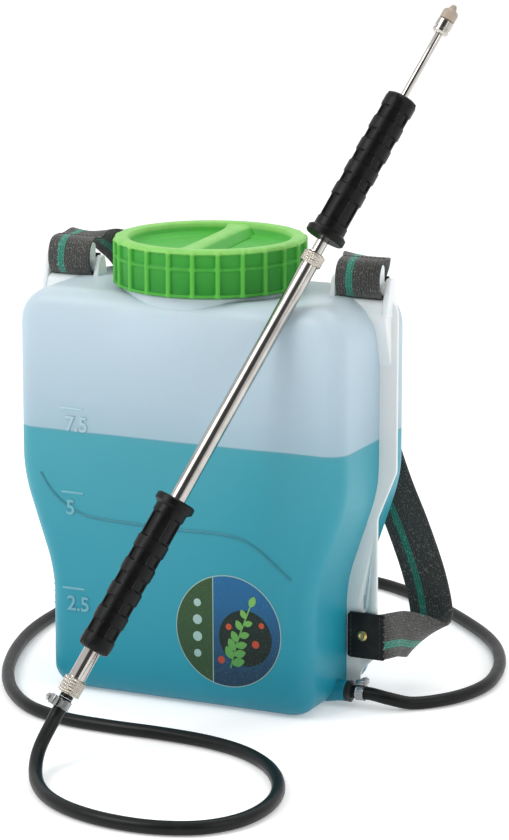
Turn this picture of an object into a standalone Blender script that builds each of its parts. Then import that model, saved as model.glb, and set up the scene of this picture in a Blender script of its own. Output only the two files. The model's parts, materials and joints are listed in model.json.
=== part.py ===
"""Backpack sprayer: blow-moulded tank, screw lid, webbing straps, hose and a slide-pump lance.

Run with: blender --background --python part.py
Metres, +Z up. The tank's base centre is the origin, and its front faces -Y.
"""

import math

import bmesh
import bpy
from mathutils import Matrix, Vector

MM = 0.001

# ---------------------------------------------------------------- driving sizes
TANK_TOP_HALF_WIDTH = 143.0 * MM
TANK_LOW_HALF_WIDTH = 116.0 * MM
TANK_FRONT_DEPTH = 66.0 * MM
TANK_REAR_DEPTH = 70.0 * MM
TANK_HEIGHT = 332.0 * MM
WAIST_LOW_Z = 98.0 * MM
WAIST_HIGH_Z = 178.0 * MM
TANK_WALL = 3.0 * MM
TANK_EDGE_ROUND = 16.0 * MM
BASE_CORNER_ROUND = 20.0 * MM
TOP_CORNER_ROUND = 30.0 * MM
WAIST_ROUND = 120.0 * MM

FLANGE_Y = 12.0 * MM
FLANGE_THICKNESS = 3.0 * MM
FLANGE_TOP_REACH = 15.0 * MM
FLANGE_LOW_REACH = 26.0 * MM
FLANGE_SLOT_WIDTH = 4.0 * MM
FLANGE_SLOT_LENGTH = 12.0 * MM

NECK_RADIUS = 66.0 * MM
NECK_WALL = 4.0 * MM
NECK_RISE = 24.0 * MM
COLLAR_RADIUS = 72.0 * MM
COLLAR_DEPTH = 34.0 * MM

LID_RADIUS = 78.0 * MM
LID_HEIGHT = 38.0 * MM
LID_RIB_COUNT = 24
LID_BAR_TURN = 6.0
LID_RIB_HEIGHT = 2.0 * MM
LID_RECESS_DEPTH = 9.0 * MM
VENT_X = 34.0 * MM

WEBBING_WIDTH = 38.0 * MM
WEBBING_THICKNESS = 1.8 * MM
CROSSBAR_HEIGHT = 24.0 * MM
CROSSBAR_DEPTH = 10.0 * MM
CROSSBAR_ROUND = 4.0 * MM
EAR_THICKNESS = 5.0 * MM
EAR_DEPTH = 18.0 * MM

HOSE_RADIUS = 5.3 * MM
BARREL_RADIUS = 6.7 * MM
BARREL_WALL = 0.8 * MM
BARREL_LENGTH = 371.0 * MM
PLUNGER_RADIUS = 4.6 * MM
PLUNGER_WALL = 1.2 * MM
GRIP_LENGTH = 127.0 * MM
GRIP_BAND_RADIUS = 12.7 * MM
GRIP_CORE_RADIUS = 11.0 * MM
GRIP_FLANGE_RADIUS = 16.0 * MM
PUMP_GAP = 12.5 * MM
WAND_RADIUS = 2.9 * MM
WAND_WALL = 1.0 * MM
WAND_LENGTH = 71.5 * MM

LANCE_FOOT_X = -14.0 * MM
LANCE_FOOT_AHEAD = 157.0 * MM
LANCE_FOOT_Z = 52.0 * MM
LANCE_SIDE_SLOPE = 0.391

OUTLET_Y = -6.0 * MM
OUTLET_Z = 12.0 * MM
OUTLET_BORE = 5.0 * MM
LABEL_RADIUS = 46.0 * MM
LABEL_X = 47.0 * MM
LABEL_Z = 68.0 * MM

# ---------------------------------------------------------------- clearances
GAP = 0.3 * MM
RUNNING_GAP = 0.06 * MM
OVERLAP = 1.0 * MM

# ---------------------------------------------------------------- colours
MATERIALS = {
    "hdpe": ((0.86, 0.93, 0.95), 0.35, 0.0),
    "lid_green": ((0.10, 0.62, 0.06), 0.40, 0.0),
    "webbing": ((0.06, 0.07, 0.07), 0.80, 0.0),
    "rubber": ((0.02, 0.02, 0.02), 0.65, 0.0),
    "grip_black": ((0.015, 0.015, 0.017), 0.50, 0.0),
    "chrome": ((0.80, 0.80, 0.80), 0.12, 1.0),
    "nickel": ((0.72, 0.71, 0.68), 0.25, 1.0),
    "brass": ((0.78, 0.58, 0.25), 0.30, 1.0),
    "steel": ((0.60, 0.60, 0.60), 0.30, 1.0),
    "white_plastic": ((0.82, 0.82, 0.80), 0.45, 0.0),
    "label_film": ((0.05, 0.25, 0.55), 0.30, 0.0),
    "black_plastic": ((0.03, 0.03, 0.03), 0.45, 0.0),
}


# ---------------------------------------------------------------- scene helpers
def clear_scene():
    """Remove every object that the file opens with."""
    for item in list(bpy.data.objects):
        bpy.data.objects.remove(item, do_unlink=True)


def cutter_collection():
    """Return the collection that holds the boolean cutters."""
    found = bpy.data.collections.get("cutters")
    if found is None:
        found = bpy.data.collections.new("cutters")
        bpy.context.scene.collection.children.link(found)
    return found


def paint(item, finish):
    """Give an object a material of its own with one of the named finishes."""
    colour, roughness, metallic = MATERIALS[finish]
    material = bpy.data.materials.new(item.name + "_" + finish)
    material.use_nodes = True
    shader = material.node_tree.nodes["Principled BSDF"]
    shader.inputs["Base Color"].default_value = (*colour, 1.0)
    shader.inputs["Roughness"].default_value = roughness
    shader.inputs["Metallic"].default_value = metallic
    item.data.materials.clear()
    item.data.materials.append(material)


def new_object(name, data):
    """Link a new object into the scene."""
    item = bpy.data.objects.new(name, data)
    bpy.context.scene.collection.objects.link(item)
    return item


def as_cutter(item):
    """Move an object to the cutters and draw it as a wire only."""
    for group in list(item.users_collection):
        group.objects.unlink(item)
    cutter_collection().objects.link(item)
    item.hide_render = True
    item.display_type = "WIRE"
    return item


def combine(target, tool, operation):
    """Add an exact boolean to the target, with the tool kept as a cutter."""
    as_cutter(tool)
    modifier = target.modifiers.new(operation.lower() + "_" + tool.name, "BOOLEAN")
    modifier.object = tool
    modifier.operation = operation
    modifier.solver = "EXACT"


def settle(item):
    """Turn an object with modifiers, or a curve, into a plain welded mesh."""
    bpy.context.view_layer.update()
    graph = bpy.context.evaluated_depsgraph_get()
    mesh = bpy.data.meshes.new_from_object(item.evaluated_get(graph))
    work = bmesh.new()
    work.from_mesh(mesh)
    bmesh.ops.remove_doubles(work, verts=work.verts, dist=0.002 * MM)
    work.to_mesh(mesh)
    work.free()
    settled = bpy.data.objects.new(item.name, mesh)
    for group in item.users_collection:
        group.objects.link(settled)
    settled.matrix_world = item.matrix_world
    name = item.name
    bpy.data.objects.remove(item, do_unlink=True)
    settled.name = name
    return settled


# ---------------------------------------------------------------- shape helpers
def arc_corners(corners, steps):
    """Return the points of a closed outline whose corners are rounded.

    corners: (u, v, radius) for each corner, counter-clockwise.
    """
    points = []
    count = len(corners)
    for index, (u, v, radius) in enumerate(corners):
        here = Vector((u, v))
        if radius <= 0.0:
            points.append(here)
            continue
        before = (Vector(corners[index - 1][:2]) - here).normalized()
        after = (Vector(corners[(index + 1) % count][:2]) - here).normalized()
        half = before.angle(after) / 2.0
        reach = radius / math.tan(half)
        centre = here + (before + after).normalized() * (radius / math.sin(half))
        start = here + before * reach - centre
        end = here + after * reach - centre
        sweep = start.angle_signed(end)
        for step in range(steps + 1):
            turn = Matrix.Rotation(-sweep * step / steps, 2)
            points.append(centre + turn @ start)
    return points


def plate(name, outline, thickness, centre, facing="Y"):
    """Return a flat plate: a filled 2D curve, extruded, as a welded mesh.

    facing Y stands the outline's (u, v) on X and Z; facing Z lays it on X and Y.
    """
    data = bpy.data.curves.new(name, "CURVE")
    data.dimensions = "2D"
    data.fill_mode = "BOTH"
    data.extrude = thickness / 2.0
    spline = data.splines.new("POLY")
    spline.points.add(len(outline) - 1)
    for point, place in zip(spline.points, outline):
        point.co = (place[0], place[1], 0.0, 1.0)
    spline.use_cyclic_u = True
    item = new_object(name, data)
    item = settle(item)
    work = bmesh.new()
    work.from_mesh(item.data)
    bmesh.ops.dissolve_limit(work, angle_limit=math.radians(0.2), verts=work.verts, edges=work.edges)
    if facing == "Y":
        work.transform(Matrix.Rotation(math.radians(90.0), 4, "X"))
    work.transform(Matrix.Translation(Vector(centre)))
    bmesh.ops.recalc_face_normals(work, faces=work.faces)
    work.to_mesh(item.data)
    work.free()
    return item


def box(name, low, high, rounding=0.0, segments=2):
    """Return a box between two corners, with rounded edges where asked."""
    size = Vector(high) - Vector(low)
    middle = (Vector(high) + Vector(low)) / 2.0
    data = bpy.data.meshes.new(name)
    work = bmesh.new()
    bmesh.ops.create_cube(work, size=1.0, matrix=Matrix.Translation(middle) @ Matrix.Diagonal((*size, 1.0)))
    work.to_mesh(data)
    work.free()
    item = new_object(name, data)
    if rounding > 0.0:
        soften(item, rounding, segments)
    return item


def soften(item, width, segments):
    """Round an object's sharp edges."""
    modifier = item.modifiers.new("bevel", "BEVEL")
    modifier.width = width
    modifier.segments = segments
    modifier.limit_method = "ANGLE"
    modifier.angle_limit = math.radians(40.0)
    modifier.use_clamp_overlap = False


def turned(name, profile, steps=24, closed=False):
    """Return a turned shape about local Z.

    profile: (radius, z) points that run down the outer side, then back up any bore.
    """
    data = bpy.data.meshes.new(name)
    verts = [(radius, 0.0, z) for radius, z in profile]
    edges = [(index, index + 1) for index in range(len(profile) - 1)]
    if closed:
        edges.append((len(profile) - 1, 0))
    data.from_pydata(verts, edges, [])
    item = new_object(name, data)
    modifier = item.modifiers.new("turn", "SCREW")
    modifier.axis = "Z"
    modifier.steps = steps
    modifier.render_steps = steps
    modifier.use_merge_vertices = True
    modifier.merge_threshold = 0.00001
    return item


def ring(name, inner, outer, low, high, steps=24):
    """Return a plain ring about local Z."""
    profile = [(outer, high), (outer, low), (inner, low), (inner, high)]
    return turned(name, profile, steps, closed=True)


def rod(name, start, end, radius, steps=24):
    """Return a straight round bar between two points, as a welded mesh."""
    start = Vector(start)
    end = Vector(end)
    span = end - start
    spin = Vector((0.0, 0.0, 1.0)).rotation_difference(span.normalized()).to_matrix().to_4x4()
    data = bpy.data.meshes.new(name)
    work = bmesh.new()
    bmesh.ops.create_cone(
        work,
        cap_ends=True,
        segments=steps,
        radius1=radius,
        radius2=radius,
        depth=span.length,
        matrix=Matrix.Translation((start + end) / 2.0) @ spin,
    )
    work.to_mesh(data)
    work.free()
    return new_object(name, data)


def smooth_curve(points, steps):
    """Return the smooth curve through the points, with this many steps a stretch."""
    last = len(points) - 1
    curve = []
    for index in range(last):
        here = points[index]
        there = points[index + 1]
        before = points[index - 1] if index > 0 else here * 2.0 - there
        after = points[index + 2] if index < last - 1 else there * 2.0 - here
        reach = (there - here).length
        lead = (there - before) * (reach / (reach + (here - before).length))
        trail = (after - here) * (reach / (reach + (after - there).length))
        for step in range(steps):
            t = step / steps
            curve.append(
                here * (2 * t**3 - 3 * t**2 + 1)
                + lead * (t**3 - 2 * t**2 + t)
                + there * (3 * t**2 - 2 * t**3)
                + trail * (t**3 - t**2)
            )
    curve.append(points[last].copy())
    return curve


def even_path(points, spacing, straight):
    """Return evenly spaced points on the smooth curve through a route.

    straight: how many of the first and last stretches keep the route's own points.
    """
    steps = 16
    curve = smooth_curve(points, steps)
    lengths = [0.0]
    for first, second in zip(curve, curve[1:]):
        lengths.append(lengths[-1] + (second - first).length)
    low = lengths[straight * steps]
    high = lengths[(len(points) - 1 - straight) * steps]
    count = max(2, round((high - low) / spacing))
    even = [point.copy() for point in points[:straight]]
    cursor = 0
    for step in range(count + 1):
        target = low + (high - low) * step / count
        while cursor < len(lengths) - 2 and lengths[cursor + 1] < target:
            cursor += 1
        share = (target - lengths[cursor]) / (lengths[cursor + 1] - lengths[cursor])
        even.append(curve[cursor].lerp(curve[cursor + 1], share))
    even.extend(point.copy() for point in points[-straight:])
    return even


def ribbon(name, stations, width, thickness, steps):
    """Return a flat band along a route.

    stations: (point, width direction) pairs; the band is solid and centred on the route.
    """
    points = smooth_curve([Vector(point) for point, _ in stations], steps)
    sides = [Vector(side) for _, side in stations]
    last = len(points) - 1
    verts = []
    for index, place in enumerate(points):
        tangent = (points[min(index + 1, last)] - points[max(index - 1, 0)]).normalized()
        stretch = min(index // steps, len(sides) - 2)
        side = sides[stretch].lerp(sides[stretch + 1], index / steps - stretch)
        side = (side - tangent * side.dot(tangent)).normalized()
        verts.append(place - side * width / 2.0)
        verts.append(place + side * width / 2.0)
    faces = [(2 * i, 2 * i + 1, 2 * i + 3, 2 * i + 2) for i in range(last)]
    data = bpy.data.meshes.new(name)
    data.from_pydata(verts, [], faces)
    item = new_object(name, data)
    modifier = item.modifiers.new("solidify", "SOLIDIFY")
    modifier.thickness = thickness
    modifier.offset = 0.0
    modifier.use_even_offset = True
    return item


# ---------------------------------------------------------------- derived places
TANK_MID_Y = (TANK_REAR_DEPTH - TANK_FRONT_DEPTH) / 2.0
TANK_DEPTH = TANK_REAR_DEPTH + TANK_FRONT_DEPTH
NECK_TOP = TANK_HEIGHT + NECK_RISE
NECK_BORE = NECK_RADIUS - NECK_WALL
LIP_THICKNESS = 1.4 * MM
GASKET_THICKNESS = 2.3 * MM
LIP_LOW = NECK_TOP + GAP
LIP_HIGH = LIP_LOW + LIP_THICKNESS
GASKET_LOW = LIP_HIGH + GAP
GASKET_HIGH = GASKET_LOW + GASKET_THICKNESS
LID_UNDERSIDE = GASKET_HIGH + GAP
LID_FLOOR = LID_UNDERSIDE + 4.0 * MM
LID_TOP = LID_FLOOR + LID_RECESS_DEPTH
LID_BOTTOM = LID_TOP - LID_HEIGHT

EAR_SPACING = WEBBING_WIDTH + 3.0 * MM
LUG_X = TANK_TOP_HALF_WIDTH - 15.0 * MM
CROSSBAR_LOW = TANK_HEIGHT + 6.0 * MM
CROSSBAR_HIGH = CROSSBAR_LOW + CROSSBAR_HEIGHT
CROSSBAR_Y = FLANGE_Y - 2.0 * MM

FLANGE_LOW_EDGE = TANK_LOW_HALF_WIDTH + FLANGE_LOW_REACH
FLANGE_TOP_EDGE = TANK_TOP_HALF_WIDTH + FLANGE_TOP_REACH
TAB_Z = 55.0 * MM
RIVET_X = FLANGE_LOW_EDGE - 11.0 * MM
RIVET_RADIUS = 2.0 * MM
SLOT_LOW_Z = TAB_Z + WEBBING_WIDTH / 2.0 + 2.0 * MM

BOSS_END = TANK_LOW_HALF_WIDTH + 8.0 * MM
BOSS_RADIUS = 9.0 * MM
SEAL_END = BOSS_END + GAP + 1.5 * MM
FITTING_START = SEAL_END + GAP
FITTING_END = FITTING_START + 3.0 * MM
HOSE_START_X = FITTING_END + GAP
CLAMP_WIDTH = 7.0 * MM
CLAMP_BAND = 1.2 * MM

NUT_LENGTH = 14.0 * MM
BARREL_LOW = 10.0 * MM
BARREL_HIGH = BARREL_LOW + BARREL_LENGTH
GRIP_LOW = 38.0 * MM
GLAND_LENGTH = 10.4 * MM
GLAND_RADIUS = 8.8 * MM
GLAND_HIGH = BARREL_HIGH + 8.0 * MM
GLAND_LOW = GLAND_HIGH - GLAND_LENGTH
UPPER_GRIP_LOW = GLAND_HIGH + PUMP_GAP
UPPER_GRIP_HIGH = UPPER_GRIP_LOW + GRIP_LENGTH
PLUNGER_LOW = 66.0 * MM
PLUNGER_HIGH = UPPER_GRIP_HIGH - 9.0 * MM
WAND_LOW = PLUNGER_HIGH + GAP
WAND_HIGH = WAND_LOW + WAND_LENGTH
NOZZLE_NUT_LENGTH = 11.0 * MM
NOZZLE_NUT_LOW = WAND_HIGH - 4.0 * MM
NOZZLE_NUT_HIGH = NOZZLE_NUT_LOW + NOZZLE_NUT_LENGTH
NOZZLE_TIP_HIGH = NOZZLE_NUT_HIGH + 13.5 * MM

HOSE_TAIL_LOW = -3.0 * MM
HOSE_END = HOSE_TAIL_LOW - GAP


def resting_radius(along):
    """Return the widest radius of the lance near a length up from its foot."""
    near = along + TANK_EDGE_ROUND + 4.0 * MM
    if near > UPPER_GRIP_LOW:
        return GRIP_FLANGE_RADIUS
    if near > GLAND_LOW:
        return GLAND_RADIUS
    return BARREL_RADIUS


def lance_axis():
    """Return the lance's foot and its direction, resting on the tank's front top edge."""
    foot = Vector((LANCE_FOOT_X, -TANK_FRONT_DEPTH - LANCE_FOOT_AHEAD, LANCE_FOOT_Z))
    edge_y = -TANK_FRONT_DEPTH + TANK_EDGE_ROUND
    edge_z = TANK_HEIGHT - TANK_EDGE_ROUND
    distance = math.hypot(edge_y - foot.y, edge_z - foot.z)
    straight = math.atan2(edge_y - foot.y, edge_z - foot.z)
    along = distance * math.hypot(1.0, LANCE_SIDE_SLOPE * math.cos(straight))
    keep = math.asin((TANK_EDGE_ROUND + resting_radius(along) + 2.0 * GAP) / distance)
    lean = straight - keep
    direction = Vector((LANCE_SIDE_SLOPE * math.cos(lean), math.sin(lean), math.cos(lean)))
    return foot, direction.normalized()


LANCE_FOOT, LANCE_DIRECTION = lance_axis()

# The hose's floor route, by hand, from the tank's outlet round the back to the lance.
HOSE_FLOOR_Z = HOSE_RADIUS + 0.3 * MM
HOSE_FLOOR_ROUTE = (
    (0.176, 0.004),
    (0.196, 0.024),
    (0.208, 0.050),
    (0.212, 0.080),
    (0.207, 0.114),
    (0.197, 0.146),
    (0.181, 0.179),
    (0.160, 0.209),
    (0.130, 0.241),
    (0.095, 0.273),
    (0.055, 0.304),
    (0.010, 0.327),
    (-0.040, 0.334),
    (-0.090, 0.324),
    (-0.135, 0.298),
    (-0.170, 0.258),
    (-0.194, 0.208),
    (-0.205, 0.152),
    (-0.205, 0.097),
    (-0.198, 0.048),
    (-0.183, -0.003),
    (-0.160, -0.056),
    (-0.130, -0.102),
    (-0.096, -0.134),
    (-0.058, -0.149),
    (-0.015, -0.152),
    (0.030, -0.151),
    (0.070, -0.154),
    (0.105, -0.165),
    (0.134, -0.185),
    (0.156, -0.212),
    (0.171, -0.244),
    (0.176, -0.278),
    (0.170, -0.309),
    (0.152, -0.333),
    (0.123, -0.346),
    (0.090, -0.348),
    (0.057, -0.341),
    (0.028, -0.326),
    (0.005, -0.304),
)
HOSE_RISE_ROUTE = (
    (-0.012, -0.279, 0.0080),
    (-0.021, -0.256, 0.0175),
)


def hose_route():
    """Return the whole hose route in world metres."""
    route = [Vector((HOSE_START_X + step * 8.0 * MM, OUTLET_Y, OUTLET_Z)) for step in range(3)]
    route.append(Vector((0.160, OUTLET_Y + 1.6 * MM, 0.0095)))
    route.extend(Vector((x, y, HOSE_FLOOR_Z)) for x, y in HOSE_FLOOR_ROUTE)
    route.extend(Vector(point) for point in HOSE_RISE_ROUTE)
    for along in (-20.0, -14.5, -9.0):
        route.append(LANCE_FOOT + LANCE_DIRECTION * along * MM)
    route.append(LANCE_FOOT + LANCE_DIRECTION * HOSE_END)
    return route


def lance_frame():
    """Return an empty at the lance's foot whose Z axis runs up the lance."""
    frame = bpy.data.objects.new("lance_frame", None)
    bpy.context.scene.collection.objects.link(frame)
    spin = Vector((0.0, 0.0, 1.0)).rotation_difference(LANCE_DIRECTION)
    frame.matrix_world = Matrix.Translation(LANCE_FOOT) @ spin.to_matrix().to_4x4()
    return frame


def on_frame(item, frame):
    """Hang an object on an empty, in the empty's own axes."""
    item.parent = frame
    return item


# ---------------------------------------------------------------- tank
def tank_outline(inset):
    """Return the tank's front outline, moved in by the inset."""
    low = TANK_LOW_HALF_WIDTH - inset
    high = TANK_TOP_HALF_WIDTH - inset
    base = inset
    top = TANK_HEIGHT - inset
    right = [
        (low, base, BASE_CORNER_ROUND - inset),
        (low, WAIST_LOW_Z, WAIST_ROUND + inset),
        (high, WAIST_HIGH_Z, WAIST_ROUND - inset),
        (high, top, TOP_CORNER_ROUND - inset),
    ]
    left = [(-x, z, radius) for x, z, radius in reversed(right)]
    return arc_corners(right + left, 4)


def tank_block(name, inset):
    """Return the tank's rounded block, moved in by the inset."""
    depth = TANK_DEPTH - 2.0 * inset
    block = plate(name, tank_outline(inset), depth, (0.0, TANK_MID_Y, 0.0))
    soften(block, TANK_EDGE_ROUND - inset, 3)
    return settle(block)


def flange_side(sign):
    """Return one side's moulded web, which the strap is riveted to."""
    inner = TANK_LOW_HALF_WIDTH - 8.0 * MM
    corners = [
        (inner, 9.0 * MM, 0.0),
        (FLANGE_LOW_EDGE - 14.0 * MM, 9.0 * MM, 2.0 * MM),
        (FLANGE_LOW_EDGE - 14.0 * MM, 24.0 * MM, 4.0 * MM),
        (FLANGE_LOW_EDGE, 38.0 * MM, 8.0 * MM),
        (FLANGE_LOW_EDGE, WAIST_HIGH_Z - 26.0 * MM, 60.0 * MM),
        (FLANGE_TOP_EDGE, WAIST_HIGH_Z + 14.0 * MM, 60.0 * MM),
        (FLANGE_TOP_EDGE, TANK_HEIGHT - 2.0 * MM, 10.0 * MM),
        (inner, TANK_HEIGHT - 2.0 * MM, 0.0),
    ]
    outline = arc_corners(corners, 4)
    if sign < 0.0:
        outline = [Vector((-point.x, point.y)) for point in reversed(outline)]
    side = "right" if sign > 0.0 else "left"
    return plate("flange_" + side, outline, FLANGE_THICKNESS, (0.0, FLANGE_Y, 0.0))


def lug_pieces(sign):
    """Return the ears and the crossbar that hold one strap's upper end."""
    side = "right" if sign > 0.0 else "left"
    pieces = []
    for label, offset in (("inner", -1.0), ("outer", 1.0)):
        centre = sign * (LUG_X + offset * (EAR_SPACING + EAR_THICKNESS) / 2.0)
        low = (centre - EAR_THICKNESS / 2.0, CROSSBAR_Y - EAR_DEPTH / 2.0, TANK_HEIGHT - 22.0 * MM)
        high = (centre + EAR_THICKNESS / 2.0, CROSSBAR_Y + EAR_DEPTH / 2.0, CROSSBAR_HIGH + 1.5 * MM)
        ear = box("ear_" + label + "_" + side, low, high, 1.8 * MM, 2)
        pieces.append(settle(ear))
    reach = EAR_SPACING / 2.0 + EAR_THICKNESS / 2.0
    low = (sign * LUG_X - reach, CROSSBAR_Y - CROSSBAR_DEPTH / 2.0, CROSSBAR_LOW)
    high = (sign * LUG_X + reach, CROSSBAR_Y + CROSSBAR_DEPTH / 2.0, CROSSBAR_HIGH)
    corners = arc_corners(
        [
            (low[1], low[2], CROSSBAR_ROUND),
            (high[1], low[2], CROSSBAR_ROUND),
            (high[1], high[2], CROSSBAR_ROUND),
            (low[1], high[2], CROSSBAR_ROUND),
        ],
        3,
    )
    bar = plate("crossbar_" + side, corners, 2.0 * reach, (0.0, 0.0, 0.0), facing="Z")
    stand = Matrix(((0, 0, 1, sign * LUG_X), (1, 0, 0, 0), (0, 1, 0, 0), (0, 0, 0, 1)))
    bar.data.transform(stand)
    pieces.append(bar)
    return pieces


def build_tank():
    """Return the tank: a hollow body with neck, webs, lugs and the outlet's boss."""
    tank = tank_block("tank_shell", 0.0)
    collar = turned(
        "collar",
        [
            (0.0, TANK_HEIGHT + OVERLAP),
            (COLLAR_RADIUS - 3.0 * MM, TANK_HEIGHT + OVERLAP),
            (COLLAR_RADIUS, TANK_HEIGHT - 2.0 * MM),
            (COLLAR_RADIUS, TANK_HEIGHT - COLLAR_DEPTH * 0.5),
            (TANK_FRONT_DEPTH - 4.0 * MM, TANK_HEIGHT - COLLAR_DEPTH * 1.6),
            (0.0, TANK_HEIGHT - COLLAR_DEPTH * 1.6),
        ],
        36,
    )
    combine(tank, settle(collar), "UNION")
    neck = turned(
        "neck",
        [
            (0.0, NECK_TOP),
            (NECK_RADIUS - 1.0 * MM, NECK_TOP),
            (NECK_RADIUS, NECK_TOP - 1.0 * MM),
            (NECK_RADIUS, TANK_HEIGHT - 6.0 * MM),
            (0.0, TANK_HEIGHT - 6.0 * MM),
        ],
        36,
    )
    combine(tank, settle(neck), "UNION")
    for sign in (-1.0, 1.0):
        combine(tank, flange_side(sign), "UNION")
        for piece in lug_pieces(sign):
            combine(tank, piece, "UNION")
    boss_start = (TANK_LOW_HALF_WIDTH - 14.0 * MM, OUTLET_Y, OUTLET_Z)
    boss = rod("outlet_boss", boss_start, (BOSS_END, OUTLET_Y, OUTLET_Z), BOSS_RADIUS)
    combine(tank, boss, "UNION")
    combine(tank, tank_block("tank_inside", TANK_WALL), "DIFFERENCE")
    bore = turned(
        "neck_bore",
        [
            (0.0, NECK_TOP + OVERLAP),
            (NECK_BORE, NECK_TOP + OVERLAP),
            (NECK_BORE, TANK_HEIGHT - 12.0 * MM),
            (0.0, TANK_HEIGHT - 12.0 * MM),
        ],
        36,
    )
    combine(tank, settle(bore), "DIFFERENCE")
    start = (TANK_LOW_HALF_WIDTH - 22.0 * MM, OUTLET_Y, OUTLET_Z)
    end = (BOSS_END + OVERLAP, OUTLET_Y, OUTLET_Z)
    combine(tank, rod("outlet_bore", start, end, OUTLET_BORE), "DIFFERENCE")
    for sign in (-1.0, 1.0):
        side = "right" if sign > 0.0 else "left"
        half = FLANGE_THICKNESS
        low = (sign * RIVET_X - FLANGE_SLOT_WIDTH / 2.0, FLANGE_Y - half, SLOT_LOW_Z)
        high = (sign * RIVET_X + FLANGE_SLOT_WIDTH / 2.0, FLANGE_Y + half, SLOT_LOW_Z + FLANGE_SLOT_LENGTH)
        combine(tank, box("slot_" + side, low, high), "DIFFERENCE")
        start = (sign * RIVET_X, FLANGE_Y - half, TAB_Z)
        end = (sign * RIVET_X, FLANGE_Y + half, TAB_Z)
        hole = rod("rivet_hole_" + side, start, end, RIVET_RADIUS + GAP, 16)
        combine(tank, hole, "DIFFERENCE")
    tank = settle(tank)
    paint(tank, "hdpe")
    return tank


def build_label():
    """Return the round film label on the front's lower right."""
    face_y = -TANK_FRONT_DEPTH - GAP
    start = (LABEL_X, face_y, LABEL_Z)
    end = (LABEL_X, face_y - 0.3 * MM, LABEL_Z)
    paint(rod("front_label", start, end, LABEL_RADIUS, 48), "label_film")


# ---------------------------------------------------------------- filler opening
def build_strainer():
    """Return the basket that hangs in the neck by its lip."""
    top = LIP_HIGH
    low = NECK_TOP - 66.0 * MM
    wall = 1.8 * MM
    outer = NECK_BORE - 3.0 * MM
    foot = outer - 8.0 * MM
    basket = turned(
        "filler_strainer",
        [
            (NECK_RADIUS - 2.0 * MM, top),
            (NECK_RADIUS - 2.0 * MM, LIP_LOW),
            (outer, LIP_LOW),
            (foot, low),
            (0.0, low),
            (0.0, low + wall),
            (foot - wall, low + wall),
            (outer - wall, top),
        ],
        32,
        closed=True,
    )
    basket = settle(basket)
    paint(basket, "white_plastic")


def build_lid_gasket():
    """Return the flat ring that seals the lid on the strainer's lip."""
    gasket = ring("lid_gasket", NECK_BORE - 1.0 * MM, NECK_RADIUS - 0.5 * MM, GASKET_LOW, GASKET_HIGH, 36)
    paint(settle(gasket), "rubber")


def build_lid():
    """Return the ribbed screw lid with its recessed top and grip bar."""
    body = LID_RADIUS - LID_RIB_HEIGHT
    skirt = NECK_RADIUS + 3.5 * MM
    rim = body - 9.0 * MM
    lid = turned(
        "screw_lid",
        [
            (0.0, LID_FLOOR),
            (rim, LID_FLOOR),
            (rim + 0.6 * MM, LID_TOP - 1.0 * MM),
            (rim + 2.0 * MM, LID_TOP),
            (body - 3.0 * MM, LID_TOP),
            (body, LID_TOP - 3.0 * MM),
            (body, LID_BOTTOM),
            (skirt, LID_BOTTOM),
            (skirt, LID_UNDERSIDE),
            (0.0, LID_UNDERSIDE),
        ],
        60,
    )
    lid = settle(lid)
    half_bar = 6.0 * MM
    low = (-half_bar, -rim - 2.0 * MM, LID_FLOOR - OVERLAP)
    high = (half_bar, rim + 2.0 * MM, LID_TOP - 2.0 * MM)
    bar = settle(box("grip_bar", low, high, 1.5 * MM, 2))
    bar.data.transform(Matrix.Rotation(math.radians(LID_BAR_TURN), 4, "Z"))
    combine(lid, bar, "UNION")
    for index in range(LID_RIB_COUNT):
        low = (body - OVERLAP, -2.2 * MM, LID_BOTTOM + 1.5 * MM)
        high = (body + LID_RIB_HEIGHT, 2.2 * MM, LID_TOP - 4.0 * MM)
        rib = box("rib_" + str(index), low, high)
        rib.data.transform(Matrix.Rotation(math.tau * (index + 0.5) / LID_RIB_COUNT, 4, "Z"))
        combine(lid, rib, "UNION")
    start = (VENT_X, 0.0, LID_UNDERSIDE - OVERLAP)
    end = (VENT_X, 0.0, LID_FLOOR + OVERLAP)
    combine(lid, rod("vent_hole", start, end, 2.4 * MM, 20), "DIFFERENCE")
    lid = settle(lid)
    paint(lid, "lid_green")


def build_vent_valve():
    """Return the rubber umbrella valve that lets air in as the tank empties."""
    valve = turned(
        "vent_valve",
        [
            (0.0, LID_FLOOR + 2.4 * MM),
            (3.4 * MM, LID_FLOOR + 1.6 * MM),
            (3.8 * MM, LID_FLOOR + GAP),
            (2.0 * MM, LID_FLOOR + GAP),
            (2.0 * MM, LID_UNDERSIDE - GAP),
            (2.9 * MM, LID_UNDERSIDE - GAP),
            (2.0 * MM, LID_UNDERSIDE - 3.5 * MM),
            (0.0, LID_UNDERSIDE - 3.5 * MM),
        ],
        20,
    )
    valve = settle(valve)
    valve.data.transform(Matrix.Translation((VENT_X, 0.0, 0.0)))
    paint(valve, "rubber")


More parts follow.
